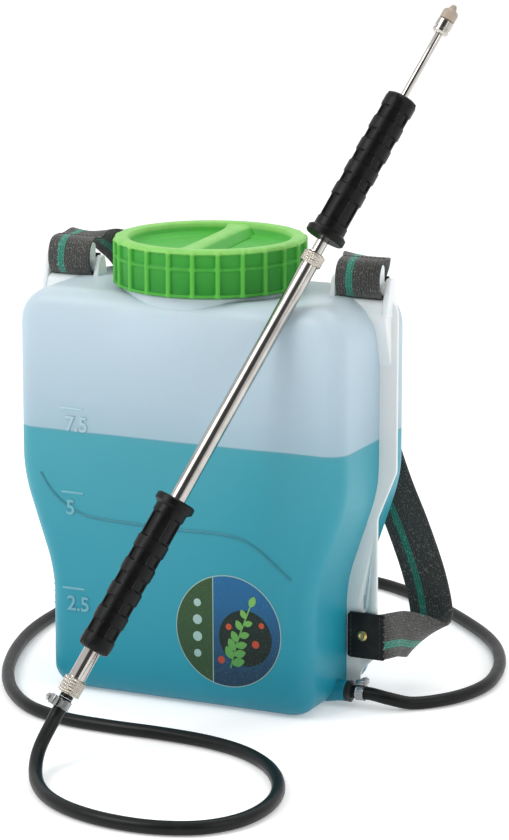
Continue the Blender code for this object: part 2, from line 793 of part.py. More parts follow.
# ---------------------------------------------------------------- straps
def strap_stations(sign):
    """Return one strap's route with the direction of its width at each point."""
    across = (1.0, 0.0, 0.0)
    upright = (0.0, 0.0, sign)
    ply = WEBBING_THICKNESS / 2.0 + GAP
    face = FLANGE_Y - FLANGE_THICKNESS / 2.0 - ply
    lug = sign * LUG_X
    front = CROSSBAR_Y - CROSSBAR_DEPTH / 2.0 - ply
    rear = CROSSBAR_Y + CROSSBAR_DEPTH / 2.0 + ply
    over = rear + WEBBING_THICKNESS + 2.0 * GAP
    low = CROSSBAR_LOW - ply
    high = CROSSBAR_HIGH + ply
    shoulder = TANK_HEIGHT + WEBBING_THICKNESS + 1.0 * MM
    back = TANK_REAR_DEPTH
    flare = sign * (FLANGE_LOW_EDGE - 128.0 * MM)
    turn = CROSSBAR_ROUND + ply
    loop = arc_corners([(rear, low, turn), (front, low, turn), (front, high, turn), (over, high, turn)], 4)
    loop = [point for point in loop if not (point.x > over - OVERLAP and point.y > high - turn * 1.5)]
    stations = [((lug, rear, low + turn + step * 4.0 * MM), across) for step in (2.0, 1.0)]
    stations += [((lug, y, z), across) for y, z in loop]
    stations += [
        ((lug, over + 1.6 * MM, high - 9.0 * MM), across),
        ((lug, over + 14.0 * MM, shoulder + 6.0 * MM), across),
        ((lug - sign * 2.0 * MM, back - 18.0 * MM, shoulder), across),
        ((lug - sign * 5.0 * MM, back, shoulder - 4.0 * MM), across),
        ((lug - sign * 9.0 * MM, back + 11.0 * MM, shoulder - 28.0 * MM), across),
        ((lug - sign * 15.0 * MM, back + 18.0 * MM, TANK_HEIGHT * 0.75), across),
        ((lug - sign * 18.0 * MM, back + 23.0 * MM, TANK_HEIGHT * 0.60), across),
        ((lug - sign * 10.0 * MM, back + 25.0 * MM, TANK_HEIGHT * 0.48), (1.0, 0.0, 0.05)),
        ((flare + sign * 126.0 * MM, back + 25.0 * MM, TANK_HEIGHT * 0.36), (1.0, 0.0, 0.12)),
        ((flare + sign * 141.0 * MM, back + 22.0 * MM, TAB_Z + 31.0 * MM), (0.95, 0.0, 0.3 * sign)),
        ((flare + sign * 147.0 * MM, back + 10.0 * MM, TAB_Z + 9.0 * MM), (0.75, 0.1, 0.65 * sign)),
        ((flare + sign * 146.0 * MM, back - 14.0 * MM, TAB_Z + 1.0 * MM), (0.35, 0.1, 0.93 * sign)),
        ((flare + sign * 141.0 * MM, FLANGE_Y + 22.0 * MM, TAB_Z), (0.1, 0.0, 1.0 * sign)),
        ((flare + sign * 136.5 * MM, FLANGE_Y + 5.0 * MM, TAB_Z), upright),
        ((flare + sign * 131.0 * MM, face, TAB_Z), upright),
        ((flare + sign * 124.0 * MM, face, TAB_Z), upright),
        ((flare + sign * 105.5 * MM, face, TAB_Z), upright),
    ]
    return stations


def rivet_cut(item, sign):
    """Cut the rivet's hole through one ply of webbing."""
    start = (sign * RIVET_X, FLANGE_Y - 9.0 * MM, TAB_Z)
    end = (sign * RIVET_X, FLANGE_Y + 9.0 * MM, TAB_Z)
    combine(item, rod("hole_" + item.name, start, end, RIVET_RADIUS + GAP, 16), "DIFFERENCE")


def build_strap(sign):
    """Return one shoulder strap, its backing ply and its rivet."""
    side = "right" if sign > 0.0 else "left"
    strap = ribbon("strap_" + side, strap_stations(sign), WEBBING_WIDTH, WEBBING_THICKNESS, 2)
    strap = settle(strap)
    rivet_cut(strap, sign)
    paint(settle(strap), "webbing")
    ply_y = FLANGE_Y + FLANGE_THICKNESS / 2.0 + GAP
    inner = sign * (TANK_LOW_HALF_WIDTH + 5.0 * MM)
    outer = sign * (FLANGE_LOW_EDGE - 2.0 * MM)
    low = (min(inner, outer), ply_y, TAB_Z - WEBBING_WIDTH / 2.0)
    high = (max(inner, outer), ply_y + WEBBING_THICKNESS, TAB_Z + WEBBING_WIDTH / 2.0)
    backing = box("strap_backing_" + side, low, high)
    rivet_cut(backing, sign)
    paint(settle(backing), "webbing")
    front = FLANGE_Y - FLANGE_THICKNESS / 2.0 - WEBBING_THICKNESS - 2.0 * GAP
    rear = FLANGE_Y + FLANGE_THICKNESS / 2.0 + WEBBING_THICKNESS + 2.0 * GAP
    head = 4.0 * MM
    rivet = turned(
        "strap_rivet_" + side,
        [
            (0.0, 1.6 * MM - front),
            (head * 0.6, 1.3 * MM - front),
            (head, 0.4 * MM - front),
            (head, -front),
            (RIVET_RADIUS, -front),
            (RIVET_RADIUS, -rear),
            (head, -rear),
            (head * 0.8, -rear - 1.0 * MM),
            (0.0, -rear - 1.2 * MM),
        ],
        16,
    )
    rivet = settle(rivet)
    rivet.data.transform(Matrix.Rotation(math.radians(90.0), 4, "X"))
    rivet.data.transform(Matrix.Translation((sign * RIVET_X, 0.0, TAB_Z)))
    paint(rivet, "brass")


# ---------------------------------------------------------------- outlet and hose
def lay_along_x(item, x, y, z):
    """Turn a shape about Z so that its axis runs along +X from a place."""
    item.data.transform(Matrix.Rotation(math.radians(90.0), 4, "Y"))
    item.data.transform(Matrix.Translation((x, y, z)))


def build_outlet():
    """Return the tank's outlet fitting with its seal, nut and filter."""
    thickness = SEAL_END - BOSS_END - GAP
    seal = settle(ring("outlet_seal", OUTLET_BORE + GAP, BOSS_RADIUS - 0.5 * MM, 0.0, thickness, 24))
    lay_along_x(seal, BOSS_END + GAP, OUTLET_Y, OUTLET_Z)
    paint(seal, "rubber")
    shank = OUTLET_BORE - GAP
    shank_low = TANK_LOW_HALF_WIDTH - 26.0 * MM
    fitting = turned(
        "outlet_fitting",
        [
            (0.0, FITTING_END),
            (HOSE_RADIUS + 0.8 * MM, FITTING_END),
            (BOSS_RADIUS - 0.3 * MM, FITTING_END - 1.0 * MM),
            (BOSS_RADIUS - 0.3 * MM, FITTING_START),
            (shank, FITTING_START),
            (shank, shank_low),
            (shank - 1.5 * MM, shank_low),
            (shank - 1.5 * MM, FITTING_START),
            (0.0, FITTING_START),
        ],
        24,
    )
    fitting = settle(fitting)
    lay_along_x(fitting, 0.0, OUTLET_Y, OUTLET_Z)
    paint(fitting, "black_plastic")
    nut_high = TANK_LOW_HALF_WIDTH - 16.5 * MM
    nut = ring("outlet_backnut", shank + RUNNING_GAP, 7.5 * MM, nut_high - 4.5 * MM, nut_high, 24)
    nut = settle(nut)
    lay_along_x(nut, 0.0, OUTLET_Y, OUTLET_Z)
    paint(nut, "black_plastic")
    mesh_high = shank_low - GAP
    mesh_filter = turned(
        "outlet_filter",
        [
            (5.6 * MM, mesh_high),
            (5.6 * MM, mesh_high - 16.0 * MM),
            (0.0, mesh_high - 16.0 * MM),
            (0.0, mesh_high - 15.0 * MM),
            (4.6 * MM, mesh_high - 15.0 * MM),
            (4.6 * MM, mesh_high),
        ],
        24,
        closed=True,
    )
    mesh_filter = settle(mesh_filter)
    lay_along_x(mesh_filter, 0.0, OUTLET_Y, OUTLET_Z)
    paint(mesh_filter, "steel")


def clamp_band(name):
    """Return a hose clamp's band with its screw housing, about local Z."""
    inner = HOSE_RADIUS + GAP
    outer = inner + CLAMP_BAND
    band = settle(ring(name, inner, outer, -CLAMP_WIDTH / 2.0, CLAMP_WIDTH / 2.0))
    low = (-3.4 * MM, outer - 0.6 * MM, -CLAMP_WIDTH / 2.0 + 0.6 * MM)
    high = (3.4 * MM, outer + 3.4 * MM, CLAMP_WIDTH / 2.0 - 0.6 * MM)
    combine(band, settle(box(name + "_housing", low, high, 0.5 * MM, 1)), "UNION")
    start = (-5.0 * MM, outer + 1.6 * MM, 0.0)
    end = (5.0 * MM, outer + 1.6 * MM, 0.0)
    combine(band, rod(name + "_bore", start, end, 1.3 * MM, 16), "DIFFERENCE")
    return settle(band)


def clamp_screw(name):
    """Return a hose clamp's screw, in the same local axes as its band."""
    centre_y = HOSE_RADIUS + GAP + CLAMP_BAND + 1.6 * MM
    screw = turned(
        name,
        [
            (0.0, 6.3 * MM),
            (2.0 * MM, 6.3 * MM),
            (2.3 * MM, 5.9 * MM),
            (2.3 * MM, 3.7 * MM),
            (1.1 * MM, 3.7 * MM),
            (1.1 * MM, -4.6 * MM),
            (0.0, -4.6 * MM),
        ],
        16,
    )
    screw = settle(screw)
    low = (-0.4 * MM, -3.0 * MM, 5.5 * MM)
    high = (0.4 * MM, 3.0 * MM, 7.0 * MM)
    combine(screw, box(name + "_slot", low, high), "DIFFERENCE")
    screw = settle(screw)
    screw.data.transform(Matrix.Rotation(math.radians(90.0), 4, "Y"))
    screw.data.transform(Matrix.Translation((0.0, centre_y, 0.0)))
    return screw


def build_outlet_clamp():
    """Return the clamp that holds the hose on the tank's outlet."""
    stand = Matrix(((0, 0, 1, 0), (1, 0, 0, 0), (0, 1, 0, 0), (0, 0, 0, 1)))
    place = Matrix.Translation((HOSE_START_X + 7.0 * MM, OUTLET_Y, OUTLET_Z)) @ stand
    for item in (clamp_band("outlet_clamp_band"), clamp_screw("outlet_clamp_screw")):
        item.data.transform(place)
        paint(item, "steel")


def build_hose():
    """Return the hose, one plain tube at its real length."""
    route = even_path(hose_route(), 2.5 * 2.0 * HOSE_RADIUS, 2)
    data = bpy.data.curves.new("hose", "CURVE")
    data.dimensions = "3D"
    data.bevel_depth = HOSE_RADIUS
    data.bevel_resolution = 2
    data.use_fill_caps = True
    spline = data.splines.new("POLY")
    spline.points.add(len(route) - 1)
    for point, place in zip(spline.points, route):
        point.co = (*place, 1.0)
    hose = settle(new_object("hose", data))
    paint(hose, "rubber")


# ---------------------------------------------------------------- lance
def grip_profile(length, flange_low):
    """Return a banded grip's profile between z = 0 and its length."""
    flange = 9.5 * MM
    bands = 5
    pitch = (length - flange - 20.0 * MM) / bands
    half = pitch * 0.22
    ramp = 0.8 * MM
    outer = []
    flange_end = [
        (GRIP_FLANGE_RADIUS - 1.5 * MM, length),
        (GRIP_FLANGE_RADIUS, length - 1.5 * MM),
        (GRIP_FLANGE_RADIUS, length - flange + 3.0 * MM),
        (GRIP_CORE_RADIUS, length - flange),
    ]
    outer.extend(flange_end)
    for band in range(bands):
        centre = length - flange - pitch * (band + 0.62)
        outer.append((GRIP_CORE_RADIUS, centre + half + ramp))
        outer.append((GRIP_BAND_RADIUS, centre + half))
        outer.append((GRIP_BAND_RADIUS, centre - half))
        outer.append((GRIP_CORE_RADIUS, centre - half - ramp))
    outer.append((GRIP_CORE_RADIUS, 11.0 * MM))
    outer.append((GRIP_BAND_RADIUS, 9.5 * MM))
    outer.append((GRIP_BAND_RADIUS, 3.0 * MM))
    outer.append((GRIP_CORE_RADIUS - 0.5 * MM, 0.0))
    if flange_low:
        outer = [(radius, length - z) for radius, z in reversed(outer)]
    return outer


def build_lance_body(frame):
    """Return the barrel side of the pump, from the hose tail to the gland."""
    bore = BARREL_RADIUS - BARREL_WALL
    barrel = settle(ring("barrel_tube", bore, BARREL_RADIUS, BARREL_LOW, BARREL_HIGH))
    nut = turned(
        "union_nut",
        [
            (8.2 * MM, NUT_LENGTH),
            (9.0 * MM, NUT_LENGTH - 0.8 * MM),
            (9.0 * MM, 0.8 * MM),
            (8.2 * MM, 0.0),
            (4.5 * MM, 0.0),
            (4.5 * MM, 5.0 * MM),
            (BARREL_RADIUS + GAP, 5.0 * MM),
            (BARREL_RADIUS + GAP, NUT_LENGTH),
        ],
        24,
        closed=True,
    )
    tail = turned(
        "hose_tail",
        [
            (BARREL_RADIUS - 0.2 * MM, 8.0 * MM),
            (BARREL_RADIUS - 0.2 * MM, 5.3 * MM),
            (4.2 * MM, 5.3 * MM),
            (4.2 * MM, -GAP),
            (HOSE_RADIUS, -GAP),
            (HOSE_RADIUS, HOSE_TAIL_LOW),
            (2.5 * MM, HOSE_TAIL_LOW),
            (2.5 * MM, 8.0 * MM),
        ],
        24,
        closed=True,
    )
    washer = ring("tail_washer", 3.0 * MM, BARREL_RADIUS - 0.2 * MM, 8.0 * MM + GAP, BARREL_LOW - GAP, 24)
    seat = turned(
        "inlet_seat",
        [
            (bore - GAP, 22.0 * MM),
            (bore - GAP, BARREL_LOW + GAP),
            (2.0 * MM, BARREL_LOW + GAP),
            (2.0 * MM, 19.0 * MM),
            (4.0 * MM, 22.0 * MM),
        ],
        24,
        closed=True,
    )
    ball = ball_on_axis("inlet_ball", 2.6 * MM, 22.9 * MM)
    keeper = ring("spring_keeper", 2.2 * MM, bore - GAP, 40.0 * MM, 42.0 * MM, 24)
    slide = PLUNGER_RADIUS + RUNNING_GAP
    bush_low = BARREL_HIGH - 9.0 * MM
    bush = ring("gland_bush", slide, bore - RUNNING_GAP, bush_low, BARREL_HIGH - 0.5 * MM)
    seal = ring("gland_seal", slide, BARREL_RADIUS, BARREL_HIGH + GAP, BARREL_HIGH + 4.0 * MM)
    gland = turned(
        "gland_nut",
        [
            (7.8 * MM, GLAND_HIGH),
            (GLAND_RADIUS, GLAND_HIGH - 1.0 * MM),
            (GLAND_RADIUS, GLAND_LOW + 0.8 * MM),
            (8.2 * MM, GLAND_LOW),
            (BARREL_RADIUS + GAP, GLAND_LOW),
            (BARREL_RADIUS + GAP, BARREL_HIGH + 4.0 * MM + GAP),
            (PLUNGER_RADIUS + GAP, BARREL_HIGH + 4.0 * MM + GAP),
            (PLUNGER_RADIUS + GAP, GLAND_HIGH),
        ],
        closed=True,
    )
    length = GRIP_LENGTH + 5.0 * MM
    grip_bore = [(BARREL_RADIUS + GAP, 0.0), (BARREL_RADIUS + GAP, length)]
    grip = banded_grip("lower_grip", grip_profile(length, False), grip_bore, GRIP_LOW)
    spring = coil("inlet_spring", 3.4 * MM, 0.45 * MM, 26.2 * MM, 39.2 * MM, 4)
    finishes = (
        (barrel, "chrome"),
        (settle(nut), "chrome"),
        (settle(tail), "nickel"),
        (settle(washer), "rubber"),
        (settle(seat), "nickel"),
        (ball, "steel"),
        (spring, "steel"),
        (settle(keeper), "white_plastic"),
        (settle(bush), "white_plastic"),
        (settle(seal), "rubber"),
        (settle(gland), "chrome"),
        (grip, "grip_black"),
    )
    for item, finish in finishes:
        on_frame(item, frame)
        paint(item, finish)


def banded_grip(name, outer, bore, low):
    """Return a grip from its outer profile and its bore, moved up to its place."""
    profile = [(radius, z + low) for radius, z in outer + bore]
    return settle(turned(name, profile, 20, closed=True))


def ball_on_axis(name, radius, z):
    """Return a valve ball."""
    data = bpy.data.meshes.new(name)
    work = bmesh.new()
    place = Matrix.Translation((0, 0, z))
    bmesh.ops.create_uvsphere(work, u_segments=12, v_segments=8, radius=radius, matrix=place)
    work.to_mesh(data)
    work.free()
    return new_object(name, data)


def coil(name, radius, wire, low, high, turns):
    """Return a compression spring."""
    data = bpy.data.curves.new(name, "CURVE")
    data.dimensions = "3D"
    data.bevel_depth = wire
    data.bevel_resolution = 2
    data.use_fill_caps = True
    spline = data.splines.new("POLY")
    steps = turns * 8
    spline.points.add(steps)
    for index, point in enumerate(spline.points):
        angle = math.tau * index / 8.0
        height = low + (high - low) * index / steps
        point.co = (radius * math.cos(angle), radius * math.sin(angle), height, 1.0)
    return settle(new_object(name, data))


def build_plunger(frame):
    """Return the sliding side of the pump, from the piston to the wand."""
    bore = BARREL_RADIUS - BARREL_WALL
    inside = PLUNGER_RADIUS - PLUNGER_WALL
    tube = ring("plunger_tube", inside, PLUNGER_RADIUS, PLUNGER_LOW, PLUNGER_HIGH)
    piston_low = PLUNGER_LOW - 8.0 * MM
    piston = turned(
        "piston",
        [
            (bore - 0.15 * MM, PLUNGER_LOW - GAP),
            (bore - 0.15 * MM, piston_low),
            (1.6 * MM, piston_low),
            (1.6 * MM, PLUNGER_LOW - 3.0 * MM),
            (3.0 * MM, PLUNGER_LOW - GAP),
        ],
        closed=True,
    )
    cup = ring("piston_cup", 2.0 * MM, bore - RUNNING_GAP, piston_low - 3.2 * MM, piston_low - GAP)
    ball = ball_on_axis("discharge_ball", 2.2 * MM, PLUNGER_LOW + 1.2 * MM)
    step_z = PLUNGER_HIGH - UPPER_GRIP_LOW + GAP / 2.0
    grip_bore = [
        (PLUNGER_RADIUS + GAP, 0.0),
        (PLUNGER_RADIUS + GAP, step_z),
        (WAND_RADIUS + GAP, step_z),
        (WAND_RADIUS + GAP, GRIP_LENGTH),
    ]
    grip = banded_grip("upper_grip", grip_profile(GRIP_LENGTH, True), grip_bore, UPPER_GRIP_LOW)
    wand = ring("wand_tube", WAND_RADIUS - WAND_WALL, WAND_RADIUS, WAND_LOW + GAP, WAND_HIGH, 24)
    finishes = (
        (settle(tube), "chrome"),
        (settle(piston), "brass"),
        (settle(cup), "rubber"),
        (ball, "steel"),
        (grip, "grip_black"),
        (settle(wand), "chrome"),
    )
    for item, finish in finishes:
        on_frame(item, frame)
        paint(item, finish)


def build_nozzle(frame):
    """Return the nozzle's nut and its white tip."""
    nut = turned(
        "nozzle_nut",
        [
            (5.0 * MM, NOZZLE_NUT_HIGH),
            (5.8 * MM, NOZZLE_NUT_HIGH - 0.8 * MM),
            (5.8 * MM, NOZZLE_NUT_LOW + 1.5 * MM),
            (4.6 * MM, NOZZLE_NUT_LOW),
            (WAND_RADIUS + GAP, NOZZLE_NUT_LOW),
            (WAND_RADIUS + GAP, NOZZLE_NUT_HIGH),
        ],
        20,
        closed=True,
    )
    tip = turned(
        "nozzle_tip",
        [
            (1.4 * MM, NOZZLE_TIP_HIGH),
            (2.6 * MM, NOZZLE_TIP_HIGH - 1.2 * MM),
            (4.9 * MM, NOZZLE_NUT_HIGH + 3.4 * MM),
            (4.9 * MM, NOZZLE_NUT_HIGH + GAP),
            (WAND_RADIUS, NOZZLE_NUT_HIGH + GAP),
            (WAND_RADIUS, WAND_HIGH + GAP),
            (0.9 * MM, WAND_HIGH + GAP),
            (0.9 * MM, NOZZLE_TIP_HIGH),
        ],
        24,
        closed=True,
    )
    for item, finish in ((settle(nut), "chrome"), (settle(tip), "white_plastic")):
        on_frame(item, frame)
        paint(item, finish)


def build_lance_clamp(frame):
    """Return the clamp that holds the hose on the lance's tail."""
    turn = Matrix.Rotation(math.radians(150.0), 4, "Z")
    place = Matrix.Translation((0.0, 0.0, HOSE_END - 1.5 * MM - CLAMP_WIDTH / 2.0)) @ turn
    for item in (clamp_band("lance_clamp_band"), clamp_screw("lance_clamp_screw")):
        item.data.transform(place)
        on_frame(item, frame)
        paint(item, "steel")


def main():
    """Build every sub-part."""
    clear_scene()
    build_tank()
    build_label()
    build_strainer()
    build_lid_gasket()
    build_lid()
    build_vent_valve()
    build_strap(-1.0)
    build_strap(1.0)
    build_outlet()
    build_outlet_clamp()
    build_hose()
    frame = lance_frame()
    build_lance_body(frame)
    build_plunger(frame)
    build_nozzle(frame)
    build_lance_clamp(frame)


main()
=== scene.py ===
"""Looks of a hand-pumped backpack sprayer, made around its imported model.

Metres, +Z up. The tank's base centre is the origin and its front faces -Y.
"""

from __future__ import annotations

import json
import logging
import math
from dataclasses import dataclass
from enum import Enum
from functools import cache
from typing import Callable, Iterable, Optional, Sequence, Union

import bmesh
import bpy
from mathutils import Matrix, Vector

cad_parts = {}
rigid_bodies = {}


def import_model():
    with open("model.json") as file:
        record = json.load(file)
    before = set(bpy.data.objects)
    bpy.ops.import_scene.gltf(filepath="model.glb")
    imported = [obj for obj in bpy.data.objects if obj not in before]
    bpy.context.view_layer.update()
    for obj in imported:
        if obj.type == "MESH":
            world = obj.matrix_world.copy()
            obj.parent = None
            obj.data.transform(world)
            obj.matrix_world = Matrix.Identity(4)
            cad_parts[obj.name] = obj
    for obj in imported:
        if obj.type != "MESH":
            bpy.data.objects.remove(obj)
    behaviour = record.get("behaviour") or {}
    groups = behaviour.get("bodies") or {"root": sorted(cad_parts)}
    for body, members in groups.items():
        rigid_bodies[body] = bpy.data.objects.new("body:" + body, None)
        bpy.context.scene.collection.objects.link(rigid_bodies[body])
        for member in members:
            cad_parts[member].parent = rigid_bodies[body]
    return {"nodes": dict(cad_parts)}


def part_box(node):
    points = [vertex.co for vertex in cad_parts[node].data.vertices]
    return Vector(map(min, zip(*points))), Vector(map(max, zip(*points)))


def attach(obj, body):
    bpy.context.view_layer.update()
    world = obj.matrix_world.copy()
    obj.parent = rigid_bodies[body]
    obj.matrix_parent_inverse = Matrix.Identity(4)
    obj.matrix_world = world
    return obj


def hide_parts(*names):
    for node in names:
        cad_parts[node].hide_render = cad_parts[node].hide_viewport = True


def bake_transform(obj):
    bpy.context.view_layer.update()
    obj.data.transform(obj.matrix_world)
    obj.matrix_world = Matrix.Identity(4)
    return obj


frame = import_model()

MM = 0.001
LOG = logging.getLogger("sprayer")
Colour = tuple[float, float, float]
Operand = Union["Wire", float]
Feed = Union["Wire", bpy.types.NodeSocket, float, Colour]
Profile = Sequence[tuple[float, float]]


# ---------------------------------------------------------------- node materials
class Wire:
    """A value socket that takes part in arithmetic, one Math node a step."""

    def __init__(self, socket: bpy.types.NodeSocket) -> None:
        """Keep the socket that carries the value."""
        self.socket = socket

    def math(self, operation: str, *operands: Operand) -> Wire:
        """Add one Math node.

        Args:
            operation: The node's operation.
            operands: Its inputs in order, each a wire or a number.

        Returns:
            The wire of its result.
        """
        tree = self.socket.id_data
        node = tree.nodes.new("ShaderNodeMath")
        node.operation = operation
        for port, operand in zip(node.inputs, operands):
            if isinstance(operand, Wire):
                tree.links.new(operand.socket, port)
            else:
                port.default_value = operand
        return Wire(node.outputs[0])

    def __add__(self, other: Operand) -> Wire:
        """Return self + other."""
        return self.math("ADD", self, other)

    def __sub__(self, other: Operand) -> Wire:
        """Return self - other."""
        return self.math("SUBTRACT", self, other)

    def __rsub__(self, other: Operand) -> Wire:
        """Return other - self."""
        return self.math("SUBTRACT", other, self)

    def __mul__(self, other: Operand) -> Wire:
        """Return self * other."""
        return self.math("MULTIPLY", self, other)

    def __truediv__(self, other: Operand) -> Wire:
        """Return self / other."""
        return self.math("DIVIDE", self, other)

    def __pow__(self, other: Operand) -> Wire:
        """Return self to the power of other."""
        return self.math("POWER", self, other)

    def __abs__(self) -> Wire:
        """Return the size of the value."""
        return self.math("ABSOLUTE", self)

    __radd__ = __add__

    def sine(self) -> Wire:
        """Return the sine of the value in radians."""
        return self.math("SINE", self)


class Recipe:
    """One node material in the making."""

    def __init__(self, name: str) -> None:
        """Start a material that holds a Principled shader and its output."""
        self.material = bpy.data.materials.new(name)
        self.material.use_nodes = True
        self.tree = self.material.node_tree
        self.tree.nodes.clear()
        self.shader = self.node("ShaderNodeBsdfPrincipled")
        self.node("ShaderNodeOutputMaterial", {}, {"Surface": self.shader.outputs[0]})

    def node(
        self, kind: str, settings: Optional[dict] = None, inputs: Optional[dict] = None
    ) -> bpy.types.Node:
        """Add any node.

        Args:
            kind: The node's type.
            settings: Its properties, set first; stops is a ramp's list of (place, colour).
            inputs: Its sockets by name or number, each a value or a link.

        Returns:
            The new node.
        """
        made = self.tree.nodes.new(kind)
        for name, value in (settings or {}).items():
            if name == "stops":
                self._set_stops(made.color_ramp, value)
            else:
                setattr(made, name, value)
        for port, value in (inputs or {}).items():
            self.feed(made.inputs[port], value)
        return made

    def _set_stops(self, ramp: bpy.types.ColorRamp, stops: Sequence[tuple[float, Colour]]) -> None:
        """Give a colour ramp its stops."""
        while len(ramp.elements) < len(stops):
            ramp.elements.new(1.0)
        for element, (place, colour) in zip(ramp.elements, stops):
            element.position = place
            element.color = (*colour, 1.0)

    def feed(self, port: bpy.types.NodeSocket, value: Feed) -> None:
        """Link a wire or a socket to an input, or set the input's own value."""
        if isinstance(value, Wire):
            value = value.socket
        if isinstance(value, bpy.types.NodeSocket):
            self.tree.links.new(value, port)
        elif port.type == "RGBA":
            port.default_value = (*value, 1.0)
        else:
            port.default_value = value

    def place(self) -> bpy.types.NodeSocket:
        """Return the point's place in the piece's own axes, in metres."""
        return self.node("ShaderNodeTexCoord").outputs["Object"]

    def axes(self) -> tuple[Wire, Wire, Wire]:
        """Return the point's x, y and z, in metres."""
        split = self.node("ShaderNodeSeparateXYZ", {}, {0: self.place()})
        return Wire(split.outputs[0]), Wire(split.outputs[1]), Wire(split.outputs[2])

    def note(self, name: str) -> Wire:
        """Return a value that the mesh carries at its points."""
        return Wire(self.node("ShaderNodeAttribute", {"attribute_name": name}).outputs["Fac"])

    def grain(self, size: float, detail: float = 2.0) -> Wire:
        """Return soft noise between 0 and 1.

        Args:
            size: The width of its features in metres.
            detail: How many finer layers it has.
        """
        spread = (1.0 / size,) * 3
        mapping = self.node("ShaderNodeMapping", {}, {"Vector": self.place(), "Scale": spread})
        inputs = {"Vector": mapping.outputs[0], "Scale": 1.0, "Detail": detail}
        return Wire(self.node("ShaderNodeTexNoise", {}, inputs).outputs[0])

    def step(self, value: Operand, low: float, high: float) -> Wire:
        """Return 0 below low and 1 above high, with a smooth turn between."""
        settings = {"interpolation_type": "SMOOTHSTEP"}
        inputs = {"Value": value, "From Min": low, "From Max": high}
        return Wire(self.node("ShaderNodeMapRange", settings, inputs).outputs[0])

    def mix(self, share: Operand, first: Feed, second: Feed) -> bpy.types.NodeSocket:
        """Return the first colour, turning to the second as share goes from 0 to 1."""
        inputs = {0: share, 6: first, 7: second}
        return self.node("ShaderNodeMix", {"data_type": "RGBA"}, inputs).outputs[2]

    def ramp(self, value: Wire, stops: Sequence[tuple[float, Colour]]) -> bpy.types.NodeSocket:
        """Return the colour that a value has on a ramp."""
        return self.node("ShaderNodeValToRGB", {"stops": stops}, {0: value}).outputs[0]

    def relief(self, height: Wire, depth: float) -> None:
        """Raise the surface where height is near 1, by depth in metres."""
        bump = self.node("ShaderNodeBump", {}, {"Height": height, "Distance": depth})
        self.feed(self.shader.inputs["Normal"], bump.outputs[0])

    def surface(self, colour: Feed, roughness: Feed, **constants: float) -> bpy.types.Material:
        """Set the shader's inputs.

        Args:
            colour: The base colour.
            roughness: The roughness.
            constants: Other sockets by name, with _ for each space.

        Returns:
            The finished material.
        """
        self.feed(self.shader.inputs["Base Color"], colour)
        self.feed(self.shader.inputs["Roughness"], roughness)
        for name, value in constants.items():
            self.shader.inputs[name.replace("_", " ")].default_value = value
        return self.material


@dataclass(frozen=True)
class MilkyPlastic:
    """Blow-moulded polyethylene that lets the liquid's colour through, with painted light: lighter towards
    the top, and the liquid lighter on the left and darker towards the bottom.

    Attributes:
        name: The material's name.
        filled: Whether the liquid shows through it.
        level: The liquid's height.
        tint: A colour laid over it.
        tinted: How much of that colour.
    """

    name: str = "milky_plastic"
    filled: bool = True
    level: float = 218.0 * MM
    tint: Colour = (1.0, 1.0, 1.0)
    tinted: float = 0.0

    @cache
    def make(self) -> bpy.types.Material:
        """Build the material."""
        recipe = Recipe(self.name)
        x, _, z = recipe.axes()
        cloud = recipe.grain(45.0 * MM, 3.0)
        height = z / 0.34 + (cloud - 0.5) * 0.05
        # Painted light: above the liquid the colour turns lighter towards the top; the clear pieces turn a
        # little lighter towards the top too.
        dry_stops = [
            (0.62, (0.310, 0.450, 0.530)),
            (0.72, (0.385, 0.510, 0.590)),
            (0.92, (0.470, 0.590, 0.665)),
            (1.00, (0.560, 0.650, 0.700)),
        ]
        web_stops = [(0.0, (0.70, 0.76, 0.76)), (0.5, (0.75, 0.80, 0.80)), (1.0, (0.78, 0.82, 0.83))]
        colour = recipe.ramp(height, dry_stops if self.filled else web_stops)
        if self.filled:
            # Painted light and shade: the liquid's colour turns lighter to the left and darker towards the
            # bottom.
            wet_stops = [
                (0.0, (0.005, 0.205, 0.290)),
                (0.12, (0.010, 0.255, 0.345)),
                (0.40, (0.026, 0.285, 0.368)),
                (0.64, (0.052, 0.320, 0.395)),
            ]
            wet = recipe.ramp(height - x * 0.35, wet_stops)
            wave = recipe.grain(60.0 * MM, 1.0)
            ripple_line = z + (wave - 0.5) * 2.0 * MM
            under = 1.0 - recipe.step(ripple_line, self.level - 0.6 * MM, self.level + 0.6 * MM)
            rim = recipe.step(abs(z - self.level + 1.0 * MM), 2.2 * MM, 0.4 * MM)
            colour = recipe.mix(under, colour, wet)
            colour = recipe.mix(rim * 0.35, colour, (0.10, 0.30, 0.36))
        if self.tinted > 0.0:
            colour = recipe.mix(self.tinted, colour, self.tint)
        skin = recipe.grain(2.2 * MM, 2.0)
        ripple = recipe.grain(28.0 * MM, 1.0)
        recipe.relief(skin * 0.10 + ripple, 0.35 * MM)
        return recipe.surface(
            colour,
            cloud * 0.12 + 0.34,
            Subsurface_Weight=0.15,
            Subsurface_Scale=0.01,
            Specular_IOR_Level=0.32,
        )


